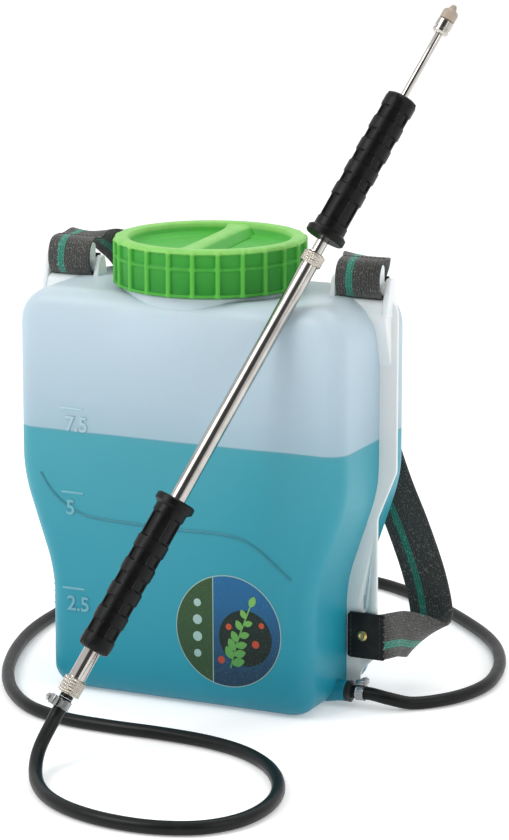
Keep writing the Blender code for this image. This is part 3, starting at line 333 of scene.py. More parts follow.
@dataclass(frozen=True)
class GreenPlastic:
    """Bright injection-moulded plastic, with painted light and shade: darker low on the wall, lighter on
    the recess floor, the outer edge and the upper crest.
    """

    name: str = "green_plastic"
    low: float = 335.0 * MM
    high: float = 373.6 * MM

    @cache
    def make(self) -> bpy.types.Material:
        """Build the material."""
        recipe = Recipe(self.name)
        x, y, z = recipe.axes()
        reach = (x * x + y * y) ** 0.5
        # Painted shade: the wall is darker low down and lighter towards the top.
        rise = recipe.step(z, self.low, self.high)
        wall = recipe.mix(rise, (0.022, 0.235, 0.026), (0.038, 0.325, 0.032))
        # Painted light: the recess floor is lighter than the wall.
        hollow = recipe.step(reach, 69.0 * MM, 66.0 * MM)
        deep = recipe.mix(hollow, wall, (0.068, 0.420, 0.046))
        # Painted highlight: the outer edge is lighter.
        edge = recipe.step(reach, 75.8 * MM, 77.4 * MM) * 0.85
        rim = recipe.mix(edge, deep, (0.105, 0.475, 0.056))
        # Painted highlight: the top of the rim is much lighter.
        crest = recipe.step(z, self.high - 5.0 * MM, self.high - 2.4 * MM)
        colour = recipe.mix(crest, rim, (0.250, 0.600, 0.135))
        cloud = recipe.grain(12.0 * MM, 3.0)
        colour = recipe.mix(recipe.step(cloud, 0.35, 0.75) * 0.14, colour, (0.03, 0.30, 0.03))
        recipe.relief(recipe.grain(1.4 * MM, 3.0), 0.06 * MM)
        return recipe.surface(colour, cloud * 0.16 + 0.36, Specular_IOR_Level=0.26)


@dataclass(frozen=True)
class Rubber:
    """Dark rubber or plastic with a fine skin and faint dust."""

    name: str
    colour: Colour = (0.010, 0.011, 0.011)
    dust: Colour = (0.035, 0.037, 0.036)
    roughness: float = 0.42
    pore: float = 0.9 * MM
    gloss: float = 0.5

    @cache
    def make(self) -> bpy.types.Material:
        """Build the material."""
        recipe = Recipe(self.name)
        cloud = recipe.grain(14.0 * MM, 4.0)
        fine = recipe.grain(self.pore, 2.0)
        colour = recipe.mix(recipe.step(cloud, 0.42, 0.80) * 0.6, self.colour, self.dust)
        recipe.relief(fine * 0.5 + cloud, 0.10 * MM)
        roughness = self.roughness + (cloud - 0.5) * 0.25 + fine * 0.05
        return recipe.surface(colour, roughness, Specular_IOR_Level=self.gloss)


@dataclass(frozen=True)
class Metal:
    """Plated or drawn metal with faint lengthwise draw marks and smudges."""

    name: str
    colour: Colour
    tarnish: Colour
    roughness: float
    marks: float = 0.02 * MM

    @cache
    def make(self) -> bpy.types.Material:
        """Build the material."""
        recipe = Recipe(self.name)
        smudge = recipe.grain(18.0 * MM, 4.0)
        fine = recipe.grain(0.7 * MM, 2.0)
        colour = recipe.mix(recipe.step(smudge, 0.35, 0.85), self.colour, self.tarnish)
        recipe.relief(fine, self.marks)
        return recipe.surface(colour, self.roughness + smudge * 0.10, Metallic=1.0)


@dataclass(frozen=True)
class Webbing:
    """Woven strap with lengthwise ribs and one coloured stripe.

    Attributes:
        name: The material's name.
        stripe_low: Where the stripe starts, from 0 at one edge to 1 at the other.
        stripe_high: Where it ends.
        stripe: Its colour.
    """

    name: str
    stripe_low: float
    stripe_high: float
    stripe: Colour = (0.014, 0.250, 0.170)
    ribs: float = 17.0
    pick: float = 1.5 * MM

    @cache
    def make(self) -> bpy.types.Material:
        """Build the material."""
        recipe = Recipe(self.name)
        across = recipe.note("across")
        along = recipe.note("along")
        speck = recipe.grain(1.3 * MM, 3.0)
        wear = recipe.grain(16.0 * MM, 3.0)
        rib = abs((across * (self.ribs * math.pi)).sine())
        shift = recipe.step((across * (self.ribs * math.pi)).sine(), -0.1, 0.1) * math.pi
        pick = (along * (math.tau / self.pick) + shift).sine() * 0.5 + 0.5
        weave = rib * 0.6 + pick * 0.4
        # Painted shade: the weave's low threads are painted darker than its raised ones, in the plain part
        # and in the stripe.
        dark = recipe.mix(recipe.step(weave, 0.15, 0.95), (0.006, 0.007, 0.007), (0.056, 0.056, 0.052))
        thread = recipe.step(speck, 0.57, 0.66) * 0.75
        dark = recipe.mix(thread, dark, (0.235, 0.225, 0.195))
        bright = recipe.mix(recipe.step(weave, 0.1, 0.9), (0.005, 0.080, 0.055), self.stripe)
        bright = recipe.mix(thread, bright, (0.200, 0.520, 0.420))
        ragged = across + (speck - 0.5) * 0.05
        inside = recipe.step(ragged, self.stripe_low, self.stripe_low + 0.02)
        outside = 1.0 - recipe.step(ragged, self.stripe_high - 0.02, self.stripe_high)
        colour = recipe.mix(inside * outside, dark, bright)
        colour = recipe.mix(recipe.step(wear, 0.5, 0.8) * 0.12, colour, (0.10, 0.10, 0.09))
        recipe.relief(weave + speck * 0.3, 0.35 * MM)
        return recipe.surface(colour, 0.62 + speck * 0.25, Sheen_Weight=0.25, Sheen_Roughness=0.5)


@dataclass(frozen=True)
class Print:
    """Printed film whose colour turns from one edge to the other."""

    name: str
    low: Colour
    high: Colour
    start: float
    end: float

    @cache
    def make(self) -> bpy.types.Material:
        """Build the material."""
        recipe = Recipe(self.name)
        _, _, z = recipe.axes()
        cloud = recipe.grain(9.0 * MM, 4.0)
        speck = recipe.grain(1.1 * MM, 2.0)
        share = recipe.step(z + (cloud - 0.5) * 12.0 * MM, self.start, self.end)
        colour = recipe.mix(share, self.low, self.high)
        colour = recipe.mix(recipe.step(speck, 0.55, 0.8) * 0.12, colour, (0.5, 0.6, 0.55))
        recipe.relief(speck, 0.03 * MM)
        return recipe.surface(colour, 0.36 + cloud * 0.14, Specular_IOR_Level=0.25)


class Kind(Enum):
    """The finishes that more than one sub-assembly uses."""

    HOSE = Rubber("hose_rubber", (0.0035, 0.0040, 0.0040), (0.010, 0.011, 0.011), 0.36, 1.6 * MM, 0.22)
    GRIP = Rubber("grip_plastic", (0.0015, 0.0017, 0.0017), (0.005, 0.0055, 0.0055), 0.38, 1.1 * MM, 0.20)
    SEAL = Rubber("seal_rubber", (0.012, 0.012, 0.012), (0.05, 0.05, 0.05), 0.62, 0.8 * MM)
    FITTING = Rubber("fitting_plastic", (0.010, 0.011, 0.012), (0.03, 0.03, 0.03), 0.36, 1.0 * MM)
    THREAD = Rubber("stitch_thread", (0.030, 0.030, 0.028), (0.11, 0.11, 0.10), 0.80, 0.5 * MM)
    WHITE = Rubber("white_plastic", (0.62, 0.60, 0.55), (0.46, 0.43, 0.38), 0.40, 1.2 * MM)
    NOZZLE = Rubber("nozzle_plastic", (0.420, 0.345, 0.275), (0.300, 0.245, 0.190), 0.40, 1.2 * MM, 0.35)
    CHROME = Metal("chrome", (0.56, 0.54, 0.51), (0.40, 0.37, 0.34), 0.05)
    NICKEL = Metal("nickel", (0.58, 0.54, 0.48), (0.34, 0.30, 0.25), 0.20, 0.05 * MM)
    STEEL = Metal("clamp_steel", (0.42, 0.42, 0.43), (0.18, 0.18, 0.18), 0.22, 0.05 * MM)
    BRASS = Metal("brass", (0.70, 0.52, 0.22), (0.30, 0.22, 0.10), 0.26, 0.06 * MM)


# ---------------------------------------------------------------- mesh making
class Mould:
    """Points and faces gathered into one piece."""

    def __init__(self) -> None:
        """Start with nothing in it."""
        self.points: list[Vector] = []
        self.faces: list[tuple[int, ...]] = []
        self.notes: dict[str, dict[int, float]] = {}

    def ring(self, points: Iterable[Sequence[float]], **notes: Sequence[float]) -> list[int]:
        """Add a row of points.

        Args:
            points: Their places.
            notes: Named values, one for each point, that the mesh is to carry.

        Returns:
            The points' numbers.
        """
        start = len(self.points)
        self.points.extend(Vector(point) for point in points)
        numbers = list(range(start, len(self.points)))
        for name, values in notes.items():
            self.notes.setdefault(name, {}).update(zip(numbers, values))
        return numbers

    def join(self, first: Sequence[int], second: Sequence[int], closed: bool = True) -> None:
        """Put a strip of faces between two rows of as many points."""
        count = len(first)
        for index in range(count if closed else count - 1):
            after = (index + 1) % count
            self.faces.append((first[index], first[after], second[after], second[index]))

    def loft(self, sections: Iterable[Sequence[Sequence[float]]], around: bool = False) -> Mould:
        """Put a skin over closed sections.

        Args:
            sections: The sections, each with the same number of points.
            around: Whether the last section joins the first. If not, both ends are filled.

        Returns:
            This mould.
        """
        rings = [self.ring(section) for section in sections]
        for first, second in zip(rings, rings[1:]):
            self.join(first, second)
        if around:
            self.join(rings[-1], rings[0])
        else:
            self.faces.append(tuple(rings[0]))
            self.faces.append(tuple(rings[-1]))
        return self

    def slab(self, outline: Sequence[Sequence[float]], lift: Vector) -> Mould:
        """Raise a flat outline into a solid."""
        return self.loft([outline, [Vector(point) + lift for point in outline]])

    def move(self, matrix: Matrix) -> Mould:
        """Move every point by a matrix and return this mould."""
        self.points = [matrix @ point for point in self.points]
        return self

    def piece(
        self,
        name: str,
        material: bpy.types.Material,
        body: str,
        rounding: float = 0.0,
        crease: float = 38.0,
    ) -> bpy.types.Object:
        """Turn the mould into an object that rides on a body.

        Args:
            name: The piece's name.
            material: Its finish.
            body: The body it moves with.
            rounding: The width that its sharp edges are bevelled to.
            crease: The angle in degrees from which an edge stays sharp.

        Returns:
            The object.
        """
        data = bpy.data.meshes.new(name)
        data.from_pydata(self.points, [], self.faces)
        work = bmesh.new()
        work.from_mesh(data)
        bmesh.ops.recalc_face_normals(work, faces=work.faces)
        if rounding > 0.0:
            sharp = math.radians(crease)
            edges = [e for e in work.edges if len(e.link_faces) == 2 and e.calc_face_angle() > sharp]
            bmesh.ops.bevel(work, geom=edges, offset=rounding, segments=3, affect="EDGES", profile=0.5)
        work.to_mesh(data)
        work.free()
        if rounding == 0.0:
            for label, values in self.notes.items():
                layer = data.attributes.new(label, "FLOAT", "POINT")
                layer.data.foreach_set("value", [values.get(i, 0.0) for i in range(len(data.vertices))])
        data.shade_smooth()
        data.set_sharp_from_angle(angle=math.radians(crease))
        data.materials.append(material)
        item = bpy.data.objects.new(name, data)
        bpy.context.scene.collection.objects.link(item)
        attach(item, body)
        return item


def circle(radius: float, height: float, steps: int) -> list[Vector]:
    """Return the points of a level circle about the Z axis."""
    turns = [math.tau * step / steps for step in range(steps)]
    return [Vector((radius * math.cos(turn), radius * math.sin(turn), height)) for turn in turns]


def turned(
    profile: Profile,
    steps: int = 48,
    place: Matrix = Matrix.Identity(4),
    closed: bool = False,
    shape: Optional[Callable[[float, float, float], float]] = None,
) -> Mould:
    """Return a lathe-turned mould.

    Args:
        profile: (radius, height) points from one end to the other.
        steps: How many points go round.
        place: Moves the Z axis to where the piece is.
        closed: Whether the profile is a closed loop, as a ring's is.
        shape: Changes the radius by (radius, turn in radians, height).

    Returns:
        The mould.
    """
    sections = []
    for radius, height in profile:
        section = circle(radius, height, steps)
        if shape is not None:
            for step, point in enumerate(section):
                size = shape(radius, math.tau * step / steps, height)
                point.xy = point.xy * (size / radius)
        sections.append(section)
    return Mould().loft(sections, around=closed).move(place)


def rounded(profile: Profile, radius: float, steps: int) -> list[tuple[float, float]]:
    """Return a closed outline whose corners are rounded by up to a radius.

    Args:
        profile: The outline's corners.
        radius: The largest rounding.
        steps: How many stretches a rounded corner has.

    Returns:
        The rounded outline.
    """
    points: list[tuple[float, float]] = []
    count = len(profile)
    for index, corner in enumerate(profile):
        here = Vector(corner)
        before = Vector(profile[index - 1]) - here
        after = Vector(profile[(index + 1) % count]) - here
        half = before.angle(after) / 2.0
        reach = min(radius / math.tan(half), before.length * 0.48, after.length * 0.48)
        start = here + before.normalized() * reach
        end = here + after.normalized() * reach
        for step in range(steps + 1):
            share = step / steps
            curve = start.lerp(here, share).lerp(here.lerp(end, share), share)
            points.append(tuple(curve))
    return points


def smooth_curve(points: Sequence[Vector], steps: int) -> list[Vector]:
    """Return the smooth curve through the points, with this many steps a stretch."""
    last = len(points) - 1
    curve = []
    for index in range(last):
        here = points[index]
        there = points[index + 1]
        before = points[index - 1] if index > 0 else here * 2.0 - there
        after = points[index + 2] if index < last - 1 else there * 2.0 - here
        reach = (there - here).length
        lead = (there - before) * (reach / (reach + (here - before).length))
        trail = (after - here) * (reach / (reach + (after - there).length))
        for step in range(steps):
            t = step / steps
            curve.append(
                here * (2 * t**3 - 3 * t**2 + 1)
                + lead * (t**3 - 2 * t**2 + t)
                + there * (3 * t**2 - 2 * t**3)
                + trail * (t**3 - t**2)
            )
    curve.append(points[last].copy())
    return curve


def even_path(points: Sequence[Vector], spacing: float) -> list[Vector]:
    """Return evenly spaced points along a line of points, its ends kept."""
    lengths = [0.0]
    for first, second in zip(points, points[1:]):
        lengths.append(lengths[-1] + (second - first).length)
    count = max(2, round(lengths[-1] / spacing))
    even = []
    cursor = 0
    for step in range(count + 1):
        target = lengths[-1] * step / count
        while cursor < len(lengths) - 2 and lengths[cursor + 1] < target:
            cursor += 1
        share = (target - lengths[cursor]) / (lengths[cursor + 1] - lengths[cursor])
        even.append(points[cursor].lerp(points[cursor + 1], min(1.0, share)))
    return even


def length_of(points: Sequence[Vector]) -> float:
    """Return the length of a line of points."""
    return sum((second - first).length for first, second in zip(points, points[1:]))


def tube(path: Sequence[Vector], outline: Profile, up: Vector = Vector((0.0, 0.0, 1.0))) -> Mould:
    """Return an outline swept along a path, with filled ends.

    Args:
        path: The points it follows.
        outline: (sideways, upward) points of its section.
        up: The direction that the section's top faces, as far as the path allows.

    Returns:
        The mould.
    """
    last = len(path) - 1
    sections = []
    top = up
    for index, point in enumerate(path):
        ahead = (path[min(index + 1, last)] - path[max(index - 1, 0)]).normalized()
        top = (top - ahead * top.dot(ahead)).normalized()
        side = ahead.cross(top)
        sections.append([point + side * u + top * v for u, v in outline])
    return Mould().loft(sections)


def round_outline(radius: float, steps: int) -> list[tuple[float, float]]:
    """Return a round section's outline."""
    return [(point.x, point.y) for point in circle(radius, 0.0, steps)]


def dress(material: bpy.types.Material, *names: str) -> None:
    """Give CAD nodes that keep their own shape a finish."""
    for name in names:
        for slot in frame["nodes"][name].material_slots:
            slot.material = material


# ---------------------------------------------------------------- the room
@dataclass
class Studio:
    """Pale floor, soft lights and the camera.

    Attributes:
        target: The point the camera looks at.
        eye: The camera's place.
        lens: Its focal length in millimetres on a sensor 36 mm high.
    """

    target: Vector = Vector((0.03877, 0.0, 0.22585))
    eye: Vector = Vector((1.1375, -2.3522, 0.8052))
    lens: float = 142.0
    floor_radius: float = 30.0

    def camera(self) -> None:
        """Place the camera and make it the scene's own."""
        data = bpy.data.cameras.new("camera")
        data.sensor_fit = "VERTICAL"
        data.sensor_height = 36.0
        data.lens = self.lens
        data.clip_end = 100.0
        camera = bpy.data.objects.new("camera", data)
        camera.location = self.eye
        camera.rotation_euler = (self.target - self.eye).to_track_quat("-Z", "Y").to_euler()
        bpy.context.scene.collection.objects.link(camera)
        bpy.context.scene.camera = camera

    def floor(self) -> None:
        """Lay a plain pale floor."""
        recipe = Recipe("pale_floor")
        cloud = recipe.grain(0.8, 2.0)
        colour = recipe.mix(cloud, (0.90, 0.90, 0.90), (0.94, 0.94, 0.94))
        recipe.surface(colour, 0.9 - cloud * 0.1, Specular_IOR_Level=0.1, Emission_Strength=0.30)
        recipe.feed(recipe.shader.inputs["Emission Color"], colour)
        mould = Mould()
        mould.faces.append(tuple(mould.ring(circle(self.floor_radius, 0.0, 96))))
        data = bpy.data.meshes.new("floor")
        data.from_pydata(mould.points, [], mould.faces)
        data.materials.append(recipe.material)
        item = bpy.data.objects.new("floor", data)
        bpy.context.scene.collection.objects.link(item)

    def lamp(self, name: str, turn: float, height: float, reach: float, size: float, power: float) -> None:
        """Hang a soft lamp that faces the object.

        Args:
            name: Its name.
            turn: Its direction in degrees from straight ahead, towards +X.
            height: Its angle above the floor in degrees.
            reach: Its distance.
            size: The side of its square.
            power: Its power in watts.
        """
        data = bpy.data.lights.new(name, "AREA")
        data.shape = "SQUARE"
        data.size = size
        data.energy = power
        lamp = bpy.data.objects.new(name, data)
        yaw = math.radians(turn)
        pitch = math.radians(height)
        level = math.cos(pitch)
        offset = Vector((math.sin(yaw) * level, -math.cos(yaw) * level, math.sin(pitch)))
        lamp.location = self.target + offset * reach
        lamp.rotation_euler = (-offset).to_track_quat("-Z", "Y").to_euler()
        bpy.context.scene.collection.objects.link(lamp)

    def sky(self) -> None:
        """Give the room pale walls, open and darker on the side that the front faces."""
        world = bpy.data.worlds.new("room")
        world.use_nodes = True
        tree = world.node_tree
        place = tree.nodes.new("ShaderNodeTexCoord")
        facing = tree.nodes.new("ShaderNodeVectorMath")
        facing.operation = "DOT_PRODUCT"
        facing.inputs[1].default_value = Vector((0.33, -0.88, 0.34)).normalized()
        ramp = tree.nodes.new("ShaderNodeValToRGB")
        ramp.color_ramp.interpolation = "EASE"
        for element, (stop, shade) in zip(ramp.color_ramp.elements, ((0.80, 1.0), (0.93, 0.10))):
            element.position = stop
            element.color = (shade, shade, shade, 1.0)
        tree.links.new(place.outputs["Generated"], facing.inputs[0])
        tree.links.new(facing.outputs["Value"], ramp.inputs[0])
        tree.links.new(ramp.outputs[0], tree.nodes["Background"].inputs["Color"])
        tree.nodes["Background"].inputs["Strength"].default_value = 0.85
        bpy.context.scene.world = world
        bpy.context.scene.view_settings.view_transform = "Standard"

    def build(self) -> None:
        """Make the room."""
        self.camera()
        self.floor()
        self.sky()
        self.lamp("key", -38.0, 42.0, 2.6, 1.3, 27.0)
        self.lamp("fill", 78.0, 28.0, 3.2, 1.6, 15.0)
        self.lamp("top", 170.0, 62.0, 2.6, 1.4, 14.0)


# ---------------------------------------------------------------- the lance's line and the clamps' places
LANCE_FOOT = Vector((-0.014, -0.223, 0.052))
LANCE_DIRECTION = Vector((0.323569, 0.458780, 0.827541)).normalized()
OUTLET_CLAMP = Vector((136.4 * MM, -6.0 * MM, 12.0 * MM))
LANCE_CLAMP_ALONG = -8.3 * MM


def lance_place() -> Matrix:
    """Return the matrix that turns the Z axis into the lance's own line."""
    spin = Vector((0.0, 0.0, 1.0)).rotation_difference(LANCE_DIRECTION)
    return Matrix.Translation(LANCE_FOOT) @ spin.to_matrix().to_4x4()


# ---------------------------------------------------------------- the hose
@dataclass
class Hose:
    """Delivery hose, laid on the floor round the back of the tank to the lance.

    Attributes:
        radius: Its outer radius.
        spacing: The distance between its mesh's rings.
    """

    radius: float = 5.3 * MM
    outlet: Vector = Vector((0.1294, -0.006, 0.012))
    floor_gap: float = 0.3 * MM
    spacing: float = 4.0 * MM
    sides: int = 20
    lance_end: float = -3.3 * MM

    def route(self) -> list[Vector]:
        """Return the points that the hose passes through."""
        x, y, z = self.outlet
        level = self.radius + self.floor_gap
        points = [Vector((x + step * 8.0 * MM, y, z)) for step in range(3)]
        points.append(Vector((0.160, y + 1.6 * MM, 0.0095)))
        ground = (
            (0.176, 0.004), (0.196, 0.024), (0.208, 0.050), (0.212, 0.080), (0.207, 0.114),
            (0.197, 0.146), (0.181, 0.179), (0.160, 0.209), (0.130, 0.241), (0.095, 0.273),
            (0.055, 0.304), (0.010, 0.327), (-0.040, 0.334), (-0.090, 0.324), (-0.135, 0.298),
            (-0.170, 0.258), (-0.194, 0.208), (-0.205, 0.152), (-0.205, 0.097), (-0.198, 0.048),
            (-0.183, -0.003), (-0.160, -0.056), (-0.130, -0.102), (-0.096, -0.134), (-0.058, -0.149),
            (-0.015, -0.152), (0.030, -0.151), (0.070, -0.154), (0.105, -0.165), (0.134, -0.185),
            (0.156, -0.212), (0.171, -0.244), (0.176, -0.278), (0.170, -0.309), (0.152, -0.333),
            (0.123, -0.346), (0.090, -0.348), (0.057, -0.341), (0.028, -0.326), (0.005, -0.304),
        )
        points.extend(Vector((u, v, level)) for u, v in ground)
        points.append(Vector((-0.012, -0.279, 0.0080)))
        points.append(Vector((-0.021, -0.256, 0.0175)))
        for along in (-20.0 * MM, -14.5 * MM, -9.0 * MM, self.lance_end):
            points.append(LANCE_FOOT + LANCE_DIRECTION * along)
        return points

    def build(self) -> None:
        path = even_path(smooth_curve(self.route(), 12), self.spacing)
        mould = tube(path, round_outline(self.radius, self.sides))
        hose = mould.piece("delivery_hose", Kind.HOSE.value.make(), "tank", crease=60.0)
        hose.parent = None
        length = length_of(path)
        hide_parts("hose")
        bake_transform(hose)
        LOG.info("delivery_hose: %.3f m", length)


# ---------------------------------------------------------------- the tank
@dataclass
class Tank:
    """Blow-moulded tank with its parting web, strap lugs, neck and marks.

    Attributes:
        top_half: Half its width above the waist.
        low_half: Half its width below the waist.
        front: How far its front face stands from the origin.
        rear: How far its rear face stands from the origin.
    """

    top_half: float = 143.0 * MM
    low_half: float = 116.0 * MM
    front: float = 66.0 * MM
    rear: float = 70.0 * MM
    height: float = 332.0 * MM
    waist_low: float = 98.0 * MM
    waist_high: float = 178.0 * MM
    waist_round: float = 120.0 * MM
    edge_round: float = 16.0 * MM
    base_round: float = 20.0 * MM
    top_round: float = 30.0 * MM
    crown: float = 1.2 * MM
    bulge_reach: float = 66.0 * MM
    bulge_low: float = 262.0 * MM
    bulge_high: float = 308.0 * MM
    web_y: float = 12.0 * MM
    web_thickness: float = 3.0 * MM
    web_top: float = 158.0 * MM
    web_low: float = 142.0 * MM
    collar: float = 73.5 * MM
    neck_radius: float = 66.0 * MM
    neck_bore: float = 62.0 * MM
    neck_top: float = 356.0 * MM
    lug_x: float = 128.0 * MM
    lug_y: float = 10.0 * MM
    bar_low: float = 334.0 * MM
    bar_high: float = 358.0 * MM
    bar_reach: float = 16.5 * MM
    bar_round: float = 4.9 * MM
    foot_high: float = 345.0 * MM
    foot_overlap: float = 1.0 * MM
    seat_drop: float = 40.0 * MM
    ear_gap: float = 41.0 * MM
    ear_width: float = 5.0 * MM
    slot_x: float = 131.0 * MM
    outlet_y: float = -6.0 * MM
    outlet_z: float = 12.0 * MM

    def side_line(self) -> list[Vector]:
        """Return the right side's (x, z) line from the base to the top."""
        corners = (
            (0.0, 0.0, 0.0),
            (self.low_half, 0.0, self.base_round),
            (self.low_half, self.waist_low, self.waist_round),
            (self.top_half, self.waist_high, self.waist_round),
            (self.top_half, self.height, self.top_round),
            (0.0, self.height, 0.0),
        )
        line: list[Vector] = []
        for index in range(1, len(corners) - 1):
            here = Vector(corners[index][:2])
            radius = corners[index][2]
            before = (Vector(corners[index - 1][:2]) - here).normalized()
            after = (Vector(corners[index + 1][:2]) - here).normalized()
            half = before.angle(after) / 2.0
            reach = radius / math.tan(half)
            centre = here + (before + after).normalized() * (radius / math.sin(half))
            start = here + before * reach - centre
            sweep = start.angle_signed(here + after * reach - centre)
            line.extend(centre + Matrix.Rotation(-sweep * step / 10, 2) @ start for step in range(11))
        return line

    def crown_at(self, x: float, z: float) -> float:
        """Return how far the front face bulges at a place."""
        across = max(0.0, 1.0 - (x / (self.low_half - self.edge_round)) ** 2)
        up = max(0.0, math.sin(math.pi * min(1.0, max(0.0, (z - 0.02) / 0.28))))
        return self.crown * across * up

    def bulge_at(self, x: float, z: float) -> float:
        """Return how far the front swells out under the neck's collar."""
        across = math.cos(math.pi / 2.0 * min(1.0, abs(x) / self.bulge_reach)) ** 2
        share = min(1.0, max(0.0, (z - self.bulge_low) / (self.bulge_high - self.bulge_low)))
        return (self.collar - self.front) * across * share * share * (3.0 - 2.0 * share)

    def front_at(self, x: float, z: float) -> float:
        """Return the Y of the front face at a place."""
        return -self.front - self.crown_at(x, z) - self.bulge_at(x, z)

    def section(self, half: float, z: float, inset: float) -> list[Vector]:
        """Return the tank's section at a height.

        Args:
            half: Half its width.
            z: The height.
            inset: How far its front and rear are drawn in.
        """
        edge = max(self.edge_round - inset * 0.5, 4.0 * MM)
        front = -self.front + inset
        rear = self.rear - inset
        points = []
        corners = (
            (half - edge, front + edge, -90.0),
            (half - edge, rear - edge, 0.0),
            (-half + edge, rear - edge, 90.0),
            (-half + edge, front + edge, 180.0),
        )
        spans = (16, 32, 16, 48)
        for index, (cx, cy, turn) in enumerate(corners):
            for step in range(9):
                angle = math.radians(turn + 90.0 * step / 8)
                points.append(Vector((cx + edge * math.cos(angle), cy + edge * math.sin(angle), z)))
            nx, ny, after = corners[(index + 1) % 4]
            angle = math.radians(after)
            end = Vector((nx + edge * math.cos(angle), ny + edge * math.sin(angle), z))
            start = points[-1].copy()
            points.extend(start.lerp(end, step / spans[index]) for step in range(1, spans[index]))
        for point in points:
            if abs(point.y - front) < 1e-6:
                point.y -= self.crown_at(point.x, z) + self.bulge_at(point.x, z)
        return points

    def body(self) -> None:
        """Make the tank's body up to the neck's bore."""
        line = self.side_line()
        dense: list[Vector] = []
        for first, second in zip(line, line[1:]):
            count = max(1, round((second - first).length / (5.0 * MM)))
            dense.extend(first.lerp(second, step / count) for step in range(count))
        dense.append(line[-1])
        mould = Mould()
        rings = []
        for x, z in dense:
            low = max(0.0, self.base_round - z)
            high = max(0.0, z - (self.height - self.edge_round))
            inset = self.base_round - math.sqrt(max(0.0, self.base_round**2 - low**2))
            inset += self.edge_round - math.sqrt(max(0.0, self.edge_round**2 - high**2))
            rings.append(mould.ring(self.section(x, z, inset * 0.999)))
        for share in (0.5, 1.0):
            steps = [mould.points[number] for number in rings[-1]]
            flat = []
            for point in steps:
                turn = math.atan2(point.y, point.x)
                target = Vector((math.cos(turn), math.sin(turn), 0.0)) * self.neck_bore
                target.z = self.height
                flat.append(point.lerp(target, share))
            rings.append(mould.ring(flat))
        for first, second in zip(rings, rings[1:]):
            mould.join(first, second)
        mould.faces.append(tuple(rings[0]))
        body = mould.piece("tank_body", MilkyPlastic().make(), "tank", crease=50.0)
        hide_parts("tank_shell")
        LOG.info("tank_body: %d faces", len(mould.faces))

    def trim(self, mould: Mould, name: str, rounding: float = 0.0) -> bpy.types.Object:
        """Turn a mould into a tank piece that the liquid doesn't tint."""
        plastic = MilkyPlastic("clear_milky_plastic", filled=False)
        item = mould.piece(name, plastic.make(), "tank", rounding)
        LOG.info(name)
        return item

    def collar_and_neck(self) -> None:
        """Make the collar under the lid and the threaded neck."""
        profile = [
            (self.neck_radius - 3.0 * MM, self.height - 10.0 * MM),
            (self.collar - 2.6 * MM, self.height - 10.0 * MM),
            (self.collar - 2.6 * MM, self.height + 2.6 * MM),
            (self.neck_radius - 3.0 * MM, self.height + 2.6 * MM),
        ]
        collar = turned(rounded(profile, 1.4 * MM, 5), 144, closed=True)
        item = collar.piece("neck_collar", MilkyPlastic().make(), "tank")
        LOG.info("neck_collar")
        pitch = 5.0 * MM
        outer = []
        for step in range(33):
            z = self.height + 2.0 * MM + step * 0.65 * MM
            wave = max(0.0, math.cos(math.tau * (z - self.height) / pitch)) ** 2
            outer.append((self.neck_radius - 1.2 * MM + 1.2 * MM * wave, z))
        profile = [
            (self.neck_bore, self.height - 4.0 * MM),
            (self.neck_radius - 1.2 * MM, self.height - 4.0 * MM),
            *outer,
            (self.neck_radius - 1.8 * MM, self.neck_top),
            (self.neck_bore, self.neck_top),
        ]
        self.trim(turned(profile, 96, closed=True), "tank_neck")

    def web(self, sign: float) -> None:
        """Make one side's moulded web with its slot and rivet hole.

        Args:
            sign: 1 on the right side, -1 on the left.
        """
        inner = self.low_half - 8.0 * MM
        corners = [
            (inner, 9.0 * MM),
            (self.web_low - 14.0 * MM, 9.0 * MM),
            (self.web_low - 14.0 * MM, 24.0 * MM),
            (self.web_low, 38.0 * MM),
            (self.web_low, self.waist_high - 26.0 * MM),
            (self.web_top, self.waist_high + 14.0 * MM),
            (self.web_top, self.height - 2.0 * MM),
            (inner, self.height - 2.0 * MM),
        ]
        face = self.web_y - self.web_thickness / 2.0
        outline = [Vector((sign * x, face, z)) for x, z in rounded(corners, 12.0 * MM, 6)]
        side = "right" if sign > 0.0 else "left"
        mould = Mould().slab(outline, Vector((0.0, self.web_thickness, 0.0)))
        web = self.trim(mould, "parting_web_" + side, 0.7 * MM)
        hole = Vector((sign * self.slot_x, self.web_y - 10.0 * MM, 55.0 * MM))
        across = Matrix.Translation(hole) @ Matrix.Rotation(math.radians(-90.0), 4, "X")
        self.cut(web, turned([(2.3 * MM, 0.0), (2.3 * MM, 20.0 * MM)], 24, across))
        corner = Vector((sign * self.slot_x - 2.0 * MM, self.web_y - 10.0 * MM, 76.0 * MM))
        slot = ((1, 0), (3, 0), (3, 12), (1, 12))
        slot_outline = [corner + Vector((u * MM, 0.0, v * MM)) for u, v in slot]
        self.cut(web, Mould().slab(slot_outline, Vector((0.0, 20.0 * MM, 0.0))))

    def cut(self, item: bpy.types.Object, tool: Mould) -> None:
        """Cut a closed shape out of a piece and keep its smooth shading."""
        data = bpy.data.meshes.new("tool")
        data.from_pydata(tool.points, [], tool.faces)
        work = bmesh.new()
        work.from_mesh(data)
        bmesh.ops.recalc_face_normals(work, faces=work.faces)
        work.to_mesh(data)
        work.free()
        cutter = bpy.data.objects.new("tool", data)
        bpy.context.scene.collection.objects.link(cutter)
        modifier = item.modifiers.new("cut", "BOOLEAN")
        modifier.operation = "DIFFERENCE"
        modifier.solver = "EXACT"
        modifier.object = cutter
        bpy.context.view_layer.update()
        evaluated = item.evaluated_get(bpy.context.evaluated_depsgraph_get())
        result = bpy.data.meshes.new_from_object(evaluated)
        item.modifiers.clear()
        item.data = result
        bpy.data.objects.remove(cutter)

